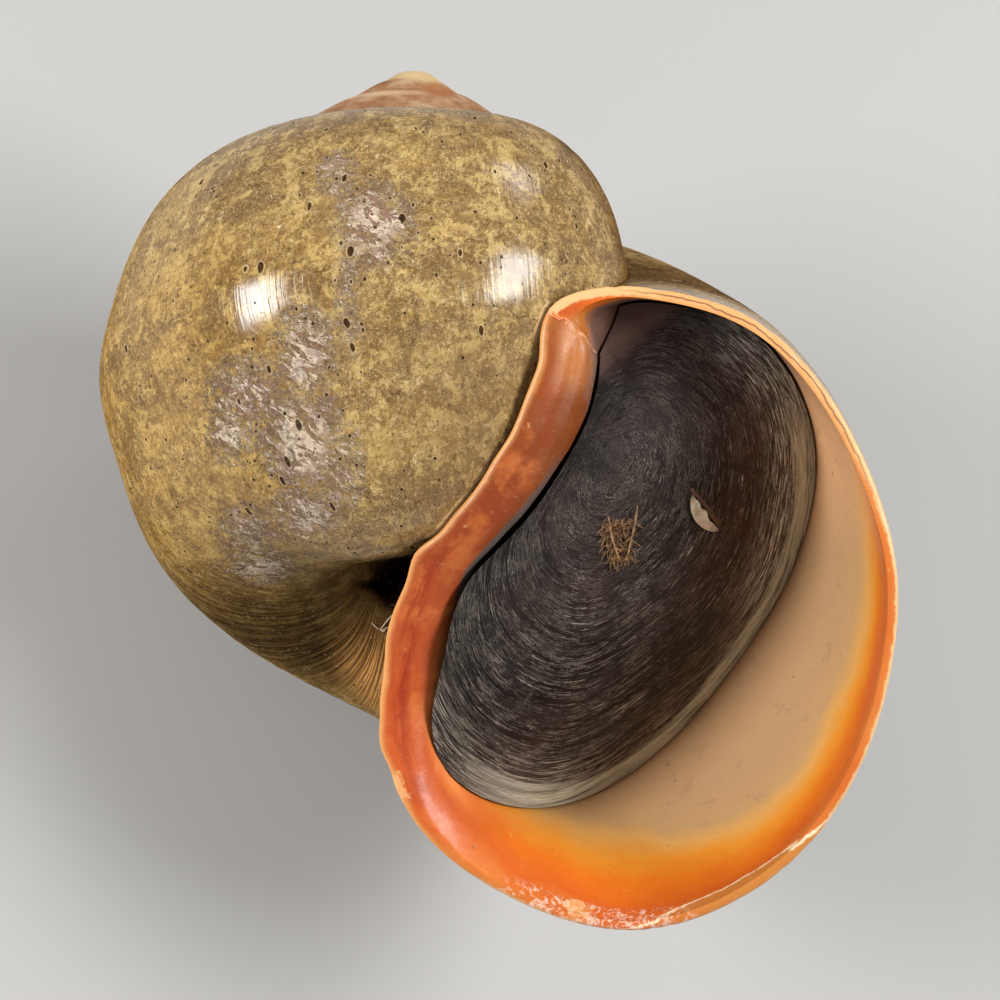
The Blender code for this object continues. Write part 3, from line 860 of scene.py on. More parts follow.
# ---- the operculum
def operculum_height(across, up):
    x = (across - OPERCULUM_MIDDLE[0]) / 10.0
    y = (up - OPERCULUM_MIDDLE[1]) / 10.0
    terms = (np.ones_like(x), x, y, x * x, x * y, y * y)
    return sum(factor * term for factor, term in zip(OPERCULUM_FACE, terms))


def operculum_rings(across, up):
    """Growth rings of the operculum: distance from its nucleus as a share, and the direction."""
    outline = closed_curve(OPERCULUM_OUTLINE, OPERCULUM_POINTS) - NUCLEUS
    angle = np.arctan2(outline[:, 1], outline[:, 0])
    order = np.argsort(angle)
    reach = np.hypot(outline[:, 0], outline[:, 1])[order]
    x = across - NUCLEUS[0]
    y = up - NUCLEUS[1]
    direction = np.arctan2(y, x)
    edge = np.interp(direction, angle[order], reach, period=2 * math.pi)
    return np.hypot(x, y) / edge, direction


def sheet_object(name, top, under):
    """Closed plate between two grids of points."""
    rows, columns = top.shape[:2]
    count = rows * columns
    faces = []
    for i in range(rows - 1):
        for j in range(columns - 1):
            a = i * columns + j
            b = a + columns
            faces.append((a, a + 1, b + 1, b))
            faces.append((count + a, count + b, count + b + 1, count + a + 1))
    rim = list(range(columns))
    rim += [i * columns + columns - 1 for i in range(1, rows)]
    rim += [(rows - 1) * columns + j for j in range(columns - 2, -1, -1)]
    rim += [i * columns for i in range(rows - 2, 0, -1)]
    for a, b in zip(rim, rim[1:] + rim[:1]):
        faces.append((b, a, count + a, count + b))
    points = np.concatenate([top.reshape(-1, 3), under.reshape(-1, 3)]) * MM
    return closed_object(name, points.tolist(), faces)


def operculum_plate():
    """The operculum in coil axes, with its growth rings in relief."""
    outline = closed_curve(OPERCULUM_OUTLINE, OPERCULUM_POINTS)
    low = outline.min(axis=0) - OPERCULUM_MARGIN
    high = outline.max(axis=0) + OPERCULUM_MARGIN
    across = np.arange(low[0], high[0], OPERCULUM_CELL)
    up = np.arange(low[1], high[1], OPERCULUM_CELL)
    grid = np.stack(np.meshgrid(across, up, indexing="ij"), -1)
    face = operculum_height(grid[..., 0], grid[..., 1])
    share, direction = operculum_rings(grid[..., 0], grid[..., 1])
    flat = np.concatenate([grid, 0 * grid[..., :1]], -1).reshape(-1, 3)
    radial = share.ravel() * RINGS_ACROSS + 0.8 * noise_at(flat, 0.12, 3.1)
    terrace = waves(radial, 1.0 / RING_SPACING, 5.7).reshape(share.shape)
    broad = noise_at(flat, 0.07, 6.1).reshape(share.shape)
    face = face + RING_HEIGHT * terrace * smooth_step(share / 0.2) + 0.16 * broad
    top = np.concatenate([grid, face[..., None]], -1)
    under = np.concatenate([grid, face[..., None] - OPERCULUM_THICK], -1)
    plate = sheet_object("operculum_surface", from_mouth_view(top), from_mouth_view(under))
    levels = [np.c_[outline, np.full(len(outline), depth)] for depth in OPERCULUM_DEPTHS]
    combine(plate, solid_object("trimmer", from_mouth_view(np.array(levels))), "INTERSECT")
    combine(plate, mouth_hollow(OPERCULUM_GAP), "INTERSECT")
    mesh = plate.data
    view = to_mouth_view(mesh_points(mesh) / MM)
    share, direction = operculum_rings(view[:, 0], view[:, 1])
    set_attribute(mesh, "ring", share * RINGS_ACROSS, np.cos(direction), np.sin(direction))
    set_attribute(mesh, "rim", rim_distance(mesh, view), view[:, 0], view[:, 1])
    return plate


def rim_distance(mesh, view):
    """Distance of each point of the plate from the edge of its upper face."""
    upper = np.zeros(len(mesh.vertices), bool)
    side = np.zeros(len(mesh.vertices), bool)
    toward = from_mouth_view(TOWARD)
    for polygon in mesh.polygons:
        chosen = upper if np.dot(polygon.normal, toward) > 0.5 else side
        chosen[list(polygon.vertices)] = True
    return nearest(view[upper & side], view)[1]


# ---- debris
def tube(path, radius, sides):
    """Rings of a thin tube along a path."""
    along = np.gradient(path, axis=0)
    along /= np.linalg.norm(along, axis=1, keepdims=True)
    first = np.cross(along, TUBE_HELPER)
    first /= np.linalg.norm(first, axis=1, keepdims=True)
    second = np.cross(along, first)
    angle = (np.arange(sides) * 2 * math.pi / sides)[:, None]
    around = np.cos(angle) * first[:, None, :] + np.sin(angle) * second[:, None, :]
    return path[:, None, :] + radius[:, None, None] * around


def tubes_object(name, strands, sides):
    """Many thin tubes as one object; each strand is its path and its radius along it."""
    strands = [(from_mouth_view(path), radius) for path, radius in strands]
    points = []
    faces = []
    for path, radius in strands:
        rings = tube(path, radius, sides)
        faces.extend(ringed_faces(len(rings), sides, len(points)))
        points.extend(rings.reshape(-1, 3) * MM)
        points.extend(path[[0, -1]] * MM)
    return closed_object(name, [tuple(p) for p in points], faces)


def strand(knots, thick, steps=14):
    """A smooth path through a few knots, with a radius that tapers at both ends."""
    knots = np.asarray(knots, float)
    at = np.linspace(0, len(knots) - 1, steps)
    path = np.stack([np.interp(at, np.arange(len(knots)), knots[:, k]) for k in range(3)], 1)
    for _ in range(3):
        path[1:-1] = 0.25 * path[:-2] + 0.5 * path[1:-1] + 0.25 * path[2:]
    share = np.linspace(0, 1, steps)
    return path, thick * (0.35 + 0.65 * np.sin(math.pi * np.clip(share, 0.04, 0.96)) ** 0.5)


def tuft():
    """The little shield-shaped mat of plant fibres on the operculum."""
    rng = np.random.default_rng(TUFT_SEED)
    strands = []
    for knots in TUFT_STALKS:
        lifted = [(x, y, operculum_height(x, y) + 0.75 + 0.1 * i) for i, (x, y) in enumerate(knots)]
        strands.append(strand(lifted, 0.13))
    for _ in range(TUFT_FIBRES):
        x, y = rng.uniform(-1, 1, 2)
        narrow = 1.0 - 0.42 * max(0.0, -y)
        start = np.array([TUFT[0] + x * TUFT_HALF[0] * narrow, TUFT[1] + y * TUFT_HALF[1]])
        heading = rng.normal(-math.pi / 2, 0.75)
        length = rng.uniform(0.5, 1.7)
        bend = rng.normal(0, 0.5)
        knots = []
        lift = rng.uniform(0.06, 0.75)
        for share in (0.0, 0.35, 0.7, 1.0):
            angle = heading + bend * share
            here = start + length * share * np.array([math.cos(angle), math.sin(angle)])
            height = operculum_height(*here) + lift * (1 - 0.5 * share) + rng.uniform(0, 0.12)
            knots.append((*here, height))
        strands.append(strand(knots, rng.uniform(0.03, 0.065), 9))
    return tubes_object("fibre_tuft", strands, 5)


def chip():
    """The half-moon flake of pale film on the operculum, with its torn straight side."""
    ends = np.array(CHIP_ENDS)
    along = ends[1] - ends[0]
    length = np.linalg.norm(along)
    across = np.array([along[1], -along[0]]) / length
    if across[0] > 0:
        across = -across
    share = np.linspace(0.0, 1.0, CHIP_COLUMNS)
    bulge = CHIP_BULGE * np.sin(math.pi * share) ** 0.62
    torn = 0.16 * np.sin(share * 23.0) * np.sin(math.pi * share) + 0.3 * np.exp(
        -(((share - 0.72) / 0.07) ** 2)
    )
    top = np.zeros((CHIP_ROWS, CHIP_COLUMNS, 3))
    for i in range(CHIP_ROWS):
        width = i / (CHIP_ROWS - 1)
        place = ends[0] + share[:, None] * along + (torn + width * (bulge - torn))[:, None] * across
        cup = 0.22 * (2 * width - 1) ** 2 + 0.1 * np.sin(share * 5.0)
        ridge = 0.06 * np.sin(width * 9.0 + share * 6.0)
        height = operculum_height(place[:, 0], place[:, 1]) + 0.42 + cup + ridge
        top[i] = np.concatenate([place, height[:, None]], 1)
    under = top - np.array([0.0, 0.0, CHIP_THICK])
    return sheet_object("pale_chip", from_mouth_view(top), from_mouth_view(under))


def chip_stalk():
    """The brown bristle along the straight side of the pale chip."""
    ends = np.array(CHIP_ENDS)
    side = np.array([0.42, 0.34])
    strands = []
    for offset, thick in ((0.55, 0.2), (0.95, 0.13), (0.3, 0.1)):
        knots = []
        for share in (-0.12, 0.25, 0.6, 0.9):
            here = ends[0] + share * (ends[1] - ends[0]) + side * offset * (1 + 0.5 * share)
            knots.append((*here, operculum_height(*here) + 0.2 + 0.18 * offset))
        strands.append(strand(knots, thick))
    return tubes_object("brown_bristle", strands, 7)


def threads(shell_points):
    """The pale threads caught beside the umbilicus, laid on the shell."""
    view = to_mouth_view(shell_points)
    front = view[view[:, 2] > 0.0]
    strands = []
    for knots, thick in zip(THREADS, THREADS_THICK):
        lifted = []
        for x, y in knots:
            near = np.hypot(front[:, 0] - x, front[:, 1] - y) < 0.9
            height = np.median(front[near, 2]) if near.any() else 14.0
            lifted.append((x, y, height + 0.35))
        strands.append(strand(lifted, thick))
    return tubes_object("pale_threads", strands, 7)


# ---- materials
class Value:
    """What a node gives out, with + - * worked out by further nodes."""

    def __init__(self, paint, socket):
        self.paint = paint
        self.socket = socket

    def __add__(self, other):
        return self.paint.math("ADD", self, other)

    def __sub__(self, other):
        return self.paint.math("SUBTRACT", self, other)

    def __rsub__(self, other):
        return self.paint.math("SUBTRACT", other, self)

    def __mul__(self, other):
        return self.paint.math("MULTIPLY", self, other)


class Paint:
    """A material, the colour laid on it so far, and short names for the nodes that make it."""

    def __init__(self, name):
        self.material = bpy.data.materials.new(name)
        self.material.use_nodes = True
        self.tree = self.material.node_tree
        self.shader = self.tree.nodes["Principled BSDF"]
        self.colour = None

    def put(self, socket, value):
        """Link a node's value to a socket, or set the socket to a number, vector or colour."""
        if isinstance(value, Value):
            self.tree.links.new(value.socket, socket)
        elif isinstance(value, tuple) and len(socket.default_value) == 4:
            socket.default_value = (*value, 1.0)
        else:
            socket.default_value = value

    def outputs(self, kind, inputs, **settings):
        """A new node's outputs, with its inputs given by name or number."""
        node = self.tree.nodes.new("ShaderNode" + kind)
        for name, value in settings.items():
            setattr(node, name, value)
        for name, value in inputs.items():
            self.put(node.inputs[name], value)
        return [Value(self, socket) for socket in node.outputs]

    def attribute(self, name):
        return self.parts(self.outputs("Attribute", {}, attribute_name=name)[1])

    def parts(self, vector):
        return self.outputs("SeparateXYZ", {0: vector})

    def join(self, x, y, z):
        return self.outputs("CombineXYZ", {0: x, 1: y, 2: z})[0]

    def math(self, operation, a, b=0.0, clamp=False):
        return self.outputs("Math", {0: a, 1: b}, operation=operation, use_clamp=clamp)[0]

    def noise(self, vector, scale, detail=3.0, rough=0.55, seed=0.0, warp=0.0):
        inputs = {"Vector": vector, "W": seed, "Scale": scale}
        inputs.update({"Detail": detail, "Roughness": rough, "Distortion": warp})
        return self.outputs("TexNoise", inputs, noise_dimensions="4D")[0]

    def ease(self, value, low, high, to_low=0.0, to_high=1.0):
        """The value's place between low and high, eased, as to_low to to_high."""
        inputs = {"Value": value, "From Min": low, "From Max": high}
        inputs.update({"To Min": to_low, "To Max": to_high})
        return self.outputs("MapRange", inputs, interpolation_type="SMOOTHSTEP")[0]

    def mix(self, share, a, b, kind="MIX"):
        return self.outputs("Mix", {0: share, 6: a, 7: b}, data_type="RGBA", blend_type=kind)[2]

    def lay(self, share, colour, kind="MIX"):
        """Lay a share of another colour over the colour so far."""
        self.colour = self.mix(share, self.colour, colour, kind)

    def ramp(self, value, stops):
        node = self.tree.nodes.new("ShaderNodeValToRGB")
        elements = node.color_ramp.elements
        while len(elements) < len(stops):
            elements.new(0.5)
        for element, (place, colour) in zip(elements, stops):
            element.position = place
            element.color = (*colour, 1.0)
        self.put(node.inputs[0], value)
        return Value(self, node.outputs[0])

    def bump(self, height, distance=MM):
        return self.outputs("Bump", {"Strength": 1.0, "Distance": distance, "Height": height})[0]

    def place(self):
        """Position on the object, in millimetres."""
        position = self.outputs("TexCoord", {})[3]
        return self.outputs("VectorMath", {0: position, 1: (1000.0,) * 3}, operation="MULTIPLY")[0]

    def lattice(self, vector, scale):
        """A loose lattice of cells: distance from a cell's middle, and two chances for the cell."""
        apart, cell = self.outputs("TexVoronoi", {"Vector": vector, "Scale": scale})[:2]
        return apart, *self.parts(cell)[:2]

    def spots(self, vector, scale, radius, share):
        """1 inside small ragged spots of mixed size, in a share of the cells of a lattice."""
        apart, chance, size = self.lattice(vector, scale)
        reach = self.ease(chance, share, 1.0) * self.ease(size, 0.0, 1.0, 0.5, 1.0)
        ragged = self.noise(vector, scale * 6.0, 2.0, 0.5, 0.4)
        inside = reach * (radius * 1.6) - (apart + ragged * (radius * 0.8))
        return self.ease(inside, 0.0, radius * 0.25)

    def pits(self, vector, scale, radius, density):
        """Oval pits in a share of the cells of a lattice, and the raised rim of each."""
        apart, chance, size = self.lattice(vector, scale)
        wobble = self.noise(vector, scale * 2.5, 2.0, 0.5, 0.4)
        there = self.ease(chance + density * 0.5, 0.94, 0.96)
        reach = there * self.ease(size, 0.0, 1.0, radius * 0.45, radius * 1.3)
        past = apart + (wobble - 0.5) * radius - reach
        rim = there * self.near(past, radius * 0.22, radius * 0.3)
        return there * self.ease(past, radius * 0.1, -radius * 0.15), rim

    def either(self, a, b):
        return self.math("MAXIMUM", a, b)

    def near(self, value, middle, half):
        """1 where the value is at the middle, easing to 0 at half a width on either side."""
        return self.ease(self.math("ABSOLUTE", value - middle), 0.0, half, 1.0, 0.0)

    def finish(self, roughness, normal, specular=0.5, coat=0.0, coat_roughness=0.2, **linked):
        """The material, with the colour laid so far, and further sockets by name."""
        inputs = {"Base Color": self.colour, "Roughness": roughness, "Normal": normal}
        inputs.update({"Specular IOR Level": specular, "Coat Weight": coat})
        inputs["Coat Roughness"] = coat_roughness
        inputs.update({name.replace("_", " "): value for name, value in linked.items()})
        for name, value in inputs.items():
            self.put(self.shader.inputs[name], value)
        return self.material


def skin_material():
    """Horny skin of the shell: mottled ochre, growth lines, worn and pitted places."""
    p = Paint("shell_skin")
    place = p.place()
    along, around, stage = p.attribute("coil")
    edge = p.attribute("lip")[0]
    worn, pitted, spire = p.attribute("wear")
    across, up, toward = p.attribute("view")
    cleft = p.attribute("cleft")[0]

    # Mottled ochre with brown bands along the growth.
    p.colour = p.ramp(
        p.noise(place, 0.07, 3.0, 0.55, 0.3),
        ((0.36, (0.19, 0.105, 0.03)), (0.5, (0.26, 0.152, 0.045)), (0.64, (0.34, 0.21, 0.06))),
    )
    bands = p.noise(p.join(along * 0.03, around, 0.0), 0.3, 4.0, 0.7, 2.2)
    p.lay(p.ease(bands, 0.48, 0.62, 0.0, 0.75), (0.16, 0.085, 0.028))
    clouds = p.noise(place, 0.4, 6.0, 0.75, 1.3, 0.6)
    p.lay(p.ease(clouds, 0.5, 0.58, 0.0, 0.85), (0.47, 0.325, 0.115))
    p.lay(p.ease(clouds, 0.49, 0.4, 0.0, 0.8), (0.15, 0.08, 0.025))

    # Growth lines, wrinkles, pale veins and flecks.
    flow = p.join(along, around * 0.035, 0.0)
    lines = p.noise(flow, 1.1, 4.0, 0.65, 5.2, 0.1)
    p.lay(p.ease(lines, 0.54, 0.66, 0.0, 0.4), (0.1, 0.055, 0.016))
    wrinkle = p.noise(p.join(along * 0.8, around, stage * 9.0), 1.4, 6.0, 0.8, 3.2, 1.4)
    patchy = p.ease(p.noise(place, 0.16, 4.0, 0.65, 5.9), 0.4, 0.6, 0.6, 1.0)
    p.lay(p.ease(wrinkle, 0.51, 0.6) * patchy, (0.11, 0.06, 0.018))
    p.lay(p.ease(wrinkle, 0.46, 0.38, 0.0, 0.6), (0.62, 0.46, 0.22))
    veins = p.near(p.noise(place, 0.9, 4.0, 0.75, 21.0, 1.8), 0.5, 0.02)
    p.lay(veins * p.ease(patchy, 0.5, 0.9, 0.15, 0.5), (0.74, 0.6, 0.36))
    flecks = p.ease(p.noise(place, 1.1, 3.0, 0.8, 12.0, 1.5), 0.65, 0.69, 0.0, 0.75)
    p.lay(flecks, (0.8, 0.68, 0.46))

    # Darker to the right and in small spots, greyer to the left.
    right = p.ease(across, -6.0, 8.0) * p.ease(up, -34.0, -44.0)
    p.lay(right * 0.3, (0.19, 0.11, 0.05))
    dark = p.noise(place, 0.75, 5.0, 0.8, 17.0, 1.0)
    p.lay(p.ease(dark, 0.57, 0.63, 0.0, 0.7), (0.07, 0.03, 0.008))
    left = p.ease(across, -4.0, -16.0) * p.ease(up, -24.0, -34.0)
    p.lay(left, (0.94, 0.88, 0.72), "MULTIPLY")

    # The streaked base, darkened partly as painted shade; painted shade in the hollow and cleft
    # beside it and behind the lip.
    front = p.ease(toward, -8.0, 4.0) * p.ease(across, 8.0, 1.0)
    base = p.ease(up, -62.0, -82.0) * p.ease(toward, 40.0, 22.0) * front
    # Partly the base's own dark brown, partly painted shade: the base darkened as if in shadow.
    p.lay(base * 0.9, (0.045, 0.024, 0.006))
    near_lip = base * p.ease(across, -13.0, -5.0) * p.ease(up, -72.0, -83.0, 0.2, 1.0)
    p.lay(near_lip * 0.9, (0.72, 0.35, 0.11))
    grain = p.noise(flow, 1.3, 5.0, 0.75, 7.7, 0.2)
    base_lines = p.ease(grain, 0.48, 0.56, 0.0, 0.92) * p.ease(near_lip, 0.0, 1.0, 1.0, 0.85)
    pale_lines = base * p.ease(grain, 0.44, 0.38, 0.0, 0.6)
    p.lay(pale_lines, (0.3, 0.17, 0.06))
    p.lay(base * base_lines, (0.012, 0.005, 0.002))
    # Painted shade: the hollow beside the base, under the inner lip, laid near black.
    hollow = p.near(across, -1.5, 6.0) * p.near(up, -69.5, 6.0) * front
    p.lay(p.ease(hollow * p.ease(toward, 40.0, 30.0), 0.1, 0.5), (0.02, 0.007, 0.004))
    # Painted shade: the cleft laid near black, over the sinking of its surface.
    p.lay(p.ease(cleft, 0.1, 0.8, 0.0, 0.97), (0.008, 0.004, 0.003))
    # Painted shade on the whorl just behind the lip.
    behind = p.ease(across, 17.0, 20.0) * (p.ease(up, -70.0, -60.0) * p.ease(toward, 22.0, 12.0))
    behind = behind * p.ease(toward, -6.0, 4.0)
    p.lay(behind, (0.42, 0.34, 0.24), "MULTIPLY")

    # Worn places: stained, with lifted flakes, painted shadow lines beside them, and pale edges
    # that are partly painted highlight.
    flakes = p.noise(place, 1.1, 6.0, 0.75, 9.0, 0.6)
    share = worn * 0.62 + (flakes - 0.5) * 3.6
    share = share * p.ease(worn, 0.0, 0.3)
    tint = p.ease(share, 0.05, 0.7, 0.0, 0.65)
    p.lay(tint * 0.5, (0.42, 0.27, 0.15))
    stains = p.ease(p.noise(place, 0.32, 4.0, 0.65, 4.5, 0.5), 0.5, 0.56)
    p.lay(tint * stains * 1.1, (0.38, 0.215, 0.17))
    slant = p.join(along + around, (along - around) * 0.45, stage)
    torn = p.noise(slant, 0.62, 6.0, 0.74, 6.4, 0.8)
    lifted = p.ease(share, 0.2, 0.55)
    p.lay(lifted * p.ease(torn, 0.5, 0.58, 0.0, 0.4), (0.56, 0.4, 0.32))
    p.lay(lifted * p.ease(torn, 0.5, 0.42, 0.0, 0.55), (0.17, 0.085, 0.055))
    # Painted shadow: thin dark lines beside the lifted flakes.
    flake_shadow_lines = lifted * p.near(torn, 0.474, 0.026)
    p.lay(flake_shadow_lines * 0.9, (0.06, 0.026, 0.014))
    # Pale flake edges: partly their own pale colour, partly painted highlight on the raised edges.
    pale_edges_and_highlight = lifted * p.near(torn, 0.508, 0.022)
    p.lay(pale_edges_and_highlight, (0.95, 0.84, 0.66))
    whiter = p.ease(worn, 0.6, 0.95) * p.ease(torn, 0.49, 0.55, 0.0, 0.6)
    p.lay(whiter, (0.66, 0.53, 0.42))

    # Pits with raised rims.
    oval = p.join(along, around * 0.55, 0.0)
    holes, rims = p.pits(oval, 0.58, 0.17, pitted)
    small, small_rims = p.pits(place, 1.1, 0.19, pitted)
    holes = p.either(holes, small)
    rims = p.either(rims, small_rims)
    p.lay(rims * 0.55, (0.7, 0.52, 0.3))
    p.lay(holes * 0.92, (0.04, 0.016, 0.006))

    # The limy spire, pale at its tip, and the pale rim along the lip.
    skin = p.colour
    p.colour = p.ramp(
        p.noise(place, 0.3, 5.0, 0.65, 6.0, 0.3),
        ((0.36, (0.25, 0.105, 0.048)), (0.5, (0.35, 0.185, 0.1)), (0.62, (0.46, 0.3, 0.19))),
    )
    tip = p.ease(up + across * 0.2, -4.0, -2.6)
    p.lay(tip * 0.85, (0.6, 0.44, 0.24))
    hem = p.near(up, -6.0, 0.8) * p.ease(across, 4.0, -2.0)
    p.lay(hem * 0.7, (0.62, 0.44, 0.28))
    stained = p.near(across, 3.6, 3.6) * p.near(up, -4.8, 2.6)
    p.lay(p.ease(stained, 0.1, 0.6, 0.0, 0.7), (0.34, 0.13, 0.05))
    p.colour = p.mix(spire * 0.95, skin, p.colour)
    ragged = edge + p.noise(place, 1.2, 3.0, 0.6, 8.0) * 1.2
    p.lay(p.ease(ragged, 1.5, 1.1), (0.6, 0.4, 0.2))

    rough = p.math("ADD", p.ease(wrinkle, 0.3, 0.7, 0.34, 0.5), p.either(pale_edges_and_highlight, spire) * 0.2, True)
    relief = p.noise(flow, 1.9, 4.0, 0.6, 1.2, 0.1) * 0.2
    gloss = p.noise(flow, 1.9, 3.0, 0.6, 1.2, 0.1) * 0.05
    for height, under_coat, on_coat in (
        (wrinkle, -0.09, -0.012),
        (base * base_lines, -0.14, -0.1),
        (tint * torn, 0.55, 0.3),
        (holes, -0.35, -0.2),
    ):
        relief = relief + height * under_coat
        gloss = gloss + height * on_coat
    relief = (relief + rims * 0.06 + flecks * 0.05) * p.ease(spire, 0.0, 1.0, 1.0, 0.25)
    dull = p.either(holes * 0.95, flake_shadow_lines * 0.6)
    glossy = p.ease(toward, 12.0, 30.0, 0.05, 0.9) * (1.0 - dull)
    return p.finish(rough, p.bump(relief), 0.0, glossy, 0.12, Coat_Normal=p.bump(gloss))


def mouth_material():
    """Porcelain-like layer of the lip and of the inside of the mouth."""
    p = Paint("shell_mouth")
    place = p.place()
    edge, beside, band = p.attribute("lip")
    across, up = p.attribute("view")[:2]
    facing = p.attribute("cleft")[1]
    soft = p.noise(place, 0.11, 3.0, 0.55, 0.7)
    fine = p.noise(place, 0.9, 4.0, 0.6, 2.7)
    uneven = band + (soft - 0.5) * 0.5
    outer = p.ramp(uneven * 0.5, OUTER_LIP_COLOURS)

    # The inner lip: red-orange, blotched and streaked, with painted light and shade on its inner
    # side.
    p.colour = p.ramp(beside, INNER_LIP_COLOURS)
    blotch = p.noise(place, 0.2, 4.0, 0.6, 4.4, 0.3)
    p.lay(p.ease(blotch, 0.5, 0.66, 0.0, 0.5), (0.6, 0.17, 0.04))
    p.lay(p.ease(blotch, 0.48, 0.34, 0.0, 0.4), (0.3, 0.035, 0.008))
    p.lay(p.ease(edge + blotch * 1.5, 1.9, 0.9, 0.0, 0.75), (0.74, 0.36, 0.11))
    streak_place = p.join(beside * 40.0, edge * 1.0, 0.0)
    streaks = p.ease(p.noise(streak_place, 0.9, 3.0, 0.6, 1.5, 0.3), 0.42, 0.54)
    streaks = streaks * (p.near(edge, 2.6, 1.7) * p.near(beside, 0.79, 0.14))
    p.lay(streaks * 0.85, (0.25, 0.02, 0.005))
    # Painted light: the inner lip's inner side, which falls into shade, brightened to orange.
    painted_light_inner_lip = p.ease(edge, 5.0, 8.0) * p.near(beside, 0.74, 0.11)
    p.lay(painted_light_inner_lip * 0.8, (0.95, 0.36, 0.1))
    # Painted shade: the upper inner lip darker deeper in.
    deep = p.ease(edge, 4.0, 6.5) * p.ease(beside, 0.84, 0.9)
    p.lay(deep * 0.8, (0.17, 0.04, 0.007))
    # Painted shade in dark horn grey where the inner lip turns away beside the operculum.
    painted_shade_band = p.ease(facing, 0.56, 0.4) * (p.ease(beside, 0.69, 0.74) * p.ease(beside, 0.94, 0.9))
    p.lay(painted_shade_band * p.ease(edge, 3.5, 5.0, 0.0, 0.96), (0.1, 0.085, 0.075))
    on_inner = p.either(p.ease(beside, 0.63, 0.69), p.ease(beside, 0.03, 0.0))
    p.colour = p.mix(on_inner, outer, p.colour)

    # The dusty corner by the suture and the wall behind it.
    dusty = across + (blotch - 0.5) * 6.0
    corner = p.ease(edge, 1.6, 3.2) * p.ease(up, -47.0, -42.0)
    p.lay(corner * p.ease(across, 34.0, 29.0), (0.42, 0.13, 0.02))
    p.lay(corner * p.ease(across, 19.5, 17.0), (0.34, 0.12, 0.07))
    wall = p.ease(dusty, 21.0, 23.5) * p.ease(edge, 2.2, 3.6)
    wall = wall * (p.ease(up, -58.0, -50.0) * p.ease(across, 60.0, 40.0))
    p.lay(wall * 0.95, p.mix(fine, (0.13, 0.07, 0.055), (0.26, 0.16, 0.125)))

    # The outer lip: a ridge and a groove along it, a flush, specks and its cream edge.
    ridge = p.near(edge, 1.9, 0.7) * (p.ease(beside, 0.2, 0.26) * p.ease(beside, 0.5, 0.42))
    p.lay(ridge * 0.55, (0.52, 0.11, 0.02))
    groove = p.near(edge, 5.8, 0.9) * (p.ease(beside, 0.16, 0.2) * p.ease(beside, 0.31, 0.27))
    p.lay(groove * 0.4, (0.3, 0.17, 0.1))
    flush = p.near(beside, 0.335, 0.035) * p.near(edge, 4.0, 4.0)
    p.lay(flush * 0.8, (0.6, 0.1, 0.025))
    specks = p.ease(p.noise(place, 1.1, 2.0, 0.5, 6.6), 0.73, 0.78, 0.0, 0.6)
    p.lay(specks, (0.35, 0.14, 0.05))
    rim = edge + (fine - 0.5) * 1.1
    thin = p.ease(beside, 0.16, 0.3, 1.15, 0.55)
    cream = p.ease(rim - thin, 0.15, -0.15, 0.0, 0.9)
    p.lay(cream * p.ease(beside, 0.66, 0.6), (0.7, 0.44, 0.2))

    # The upper lip, with painted light on its wall inside the edge, and its layers showing at the
    # edge.
    # Painted light on the upper lip's wall, which falls into shade.
    painted_light_upper_wall = p.near(beside, 0.2, 0.09) * p.ease(edge, 1.6, 3.4)
    p.lay(painted_light_upper_wall * 0.8, (0.8, 0.44, 0.22))
    above = p.ease(beside, 0.26, 0.18) * p.ease(beside, 0.03, 0.07)
    p.lay(above * p.ease(edge, 2.6, 1.6, 0.0, 0.8), (0.68, 0.33, 0.12))
    layers = p.noise(p.join(beside * 60.0, 0.0, 0.0), 0.6, 3.0, 0.7, 2.2)
    layer = edge + (layers - 0.5) * 1.6
    p.lay(above * p.near(layer, 0.75, 0.16), (0.2, 0.08, 0.04))

    # The foot of the lip: a split edge, crusts, cracks and chips.
    bowed = p.ease(beside, 0.4, 0.48) * p.ease(beside, 0.57, 0.5)
    wavy = edge + (fine - 0.5) * 0.9
    beyond = wavy - bowed * 2.4
    ridged = p.ease(bowed, 0.05, 0.3)
    p.lay(ridged * p.ease(beyond, 0.15, -0.15, 0.0, 0.8), (0.52, 0.2, 0.04))
    inside = p.near(beside, 0.56, 0.08) * p.ease(edge, 4.5, 1.0)
    p.lay(inside * 0.7, (0.56, 0.1, 0.018))
    crusted = p.noise(place, 0.8, 5.0, 0.75, 3.9, 1.0)
    crust = p.near(beside, 0.57, 0.07) * p.ease(wavy, 3.6, 0.6, 0.0, 1.0)
    crust = p.ease(crust, 0.0, 0.25) * p.ease(crusted, 0.5, 0.56)
    p.lay(crust * 0.8, (0.78, 0.52, 0.4))
    crack = ridged * p.near(beyond, 0.0, 0.28)
    p.lay(crack * p.ease(crusted, 0.35, 0.5, 0.4, 0.95), (0.9, 0.72, 0.48))
    flaked = fine + (crusted - 0.5) * 2.0
    patch = p.near(beside, 0.712, 0.016) * p.near(edge, 0.6, 1.5)
    chipped = p.near(beside, 0.583, 0.016) * p.near(edge, 1.6, 2.6)
    patch = p.either(patch, chipped) + (flaked - 0.5) * 1.3
    p.lay(p.ease(patch, 0.35, 0.75, 0.0, 0.45), (0.8, 0.5, 0.22))

    # Smudges, marks and dust inside the mouth.
    smudge = p.ease(p.noise(place, 0.3, 5.0, 0.7, 33.0, 0.5), 0.57, 0.66, 0.0, 0.3)
    p.lay(smudge * p.ease(uneven, 0.9, 1.3), (0.27, 0.16, 0.1))
    marks = p.spots(place, 0.5, 0.14, 0.86)
    p.lay(marks * 0.6, (0.16, 0.08, 0.04))
    dust = p.ease(p.noise(place, 2.2, 4.0, 0.75, 15.0), 0.56, 0.7, 0.0, 0.1)
    p.lay(dust, (0.72, 0.5, 0.3))
    rough = p.ease(fine, 0.3, 0.7, 0.36, 0.48)
    return p.finish(rough, p.bump(soft * 0.25 + fine * 0.07), 0.32, 0.1, 0.15)


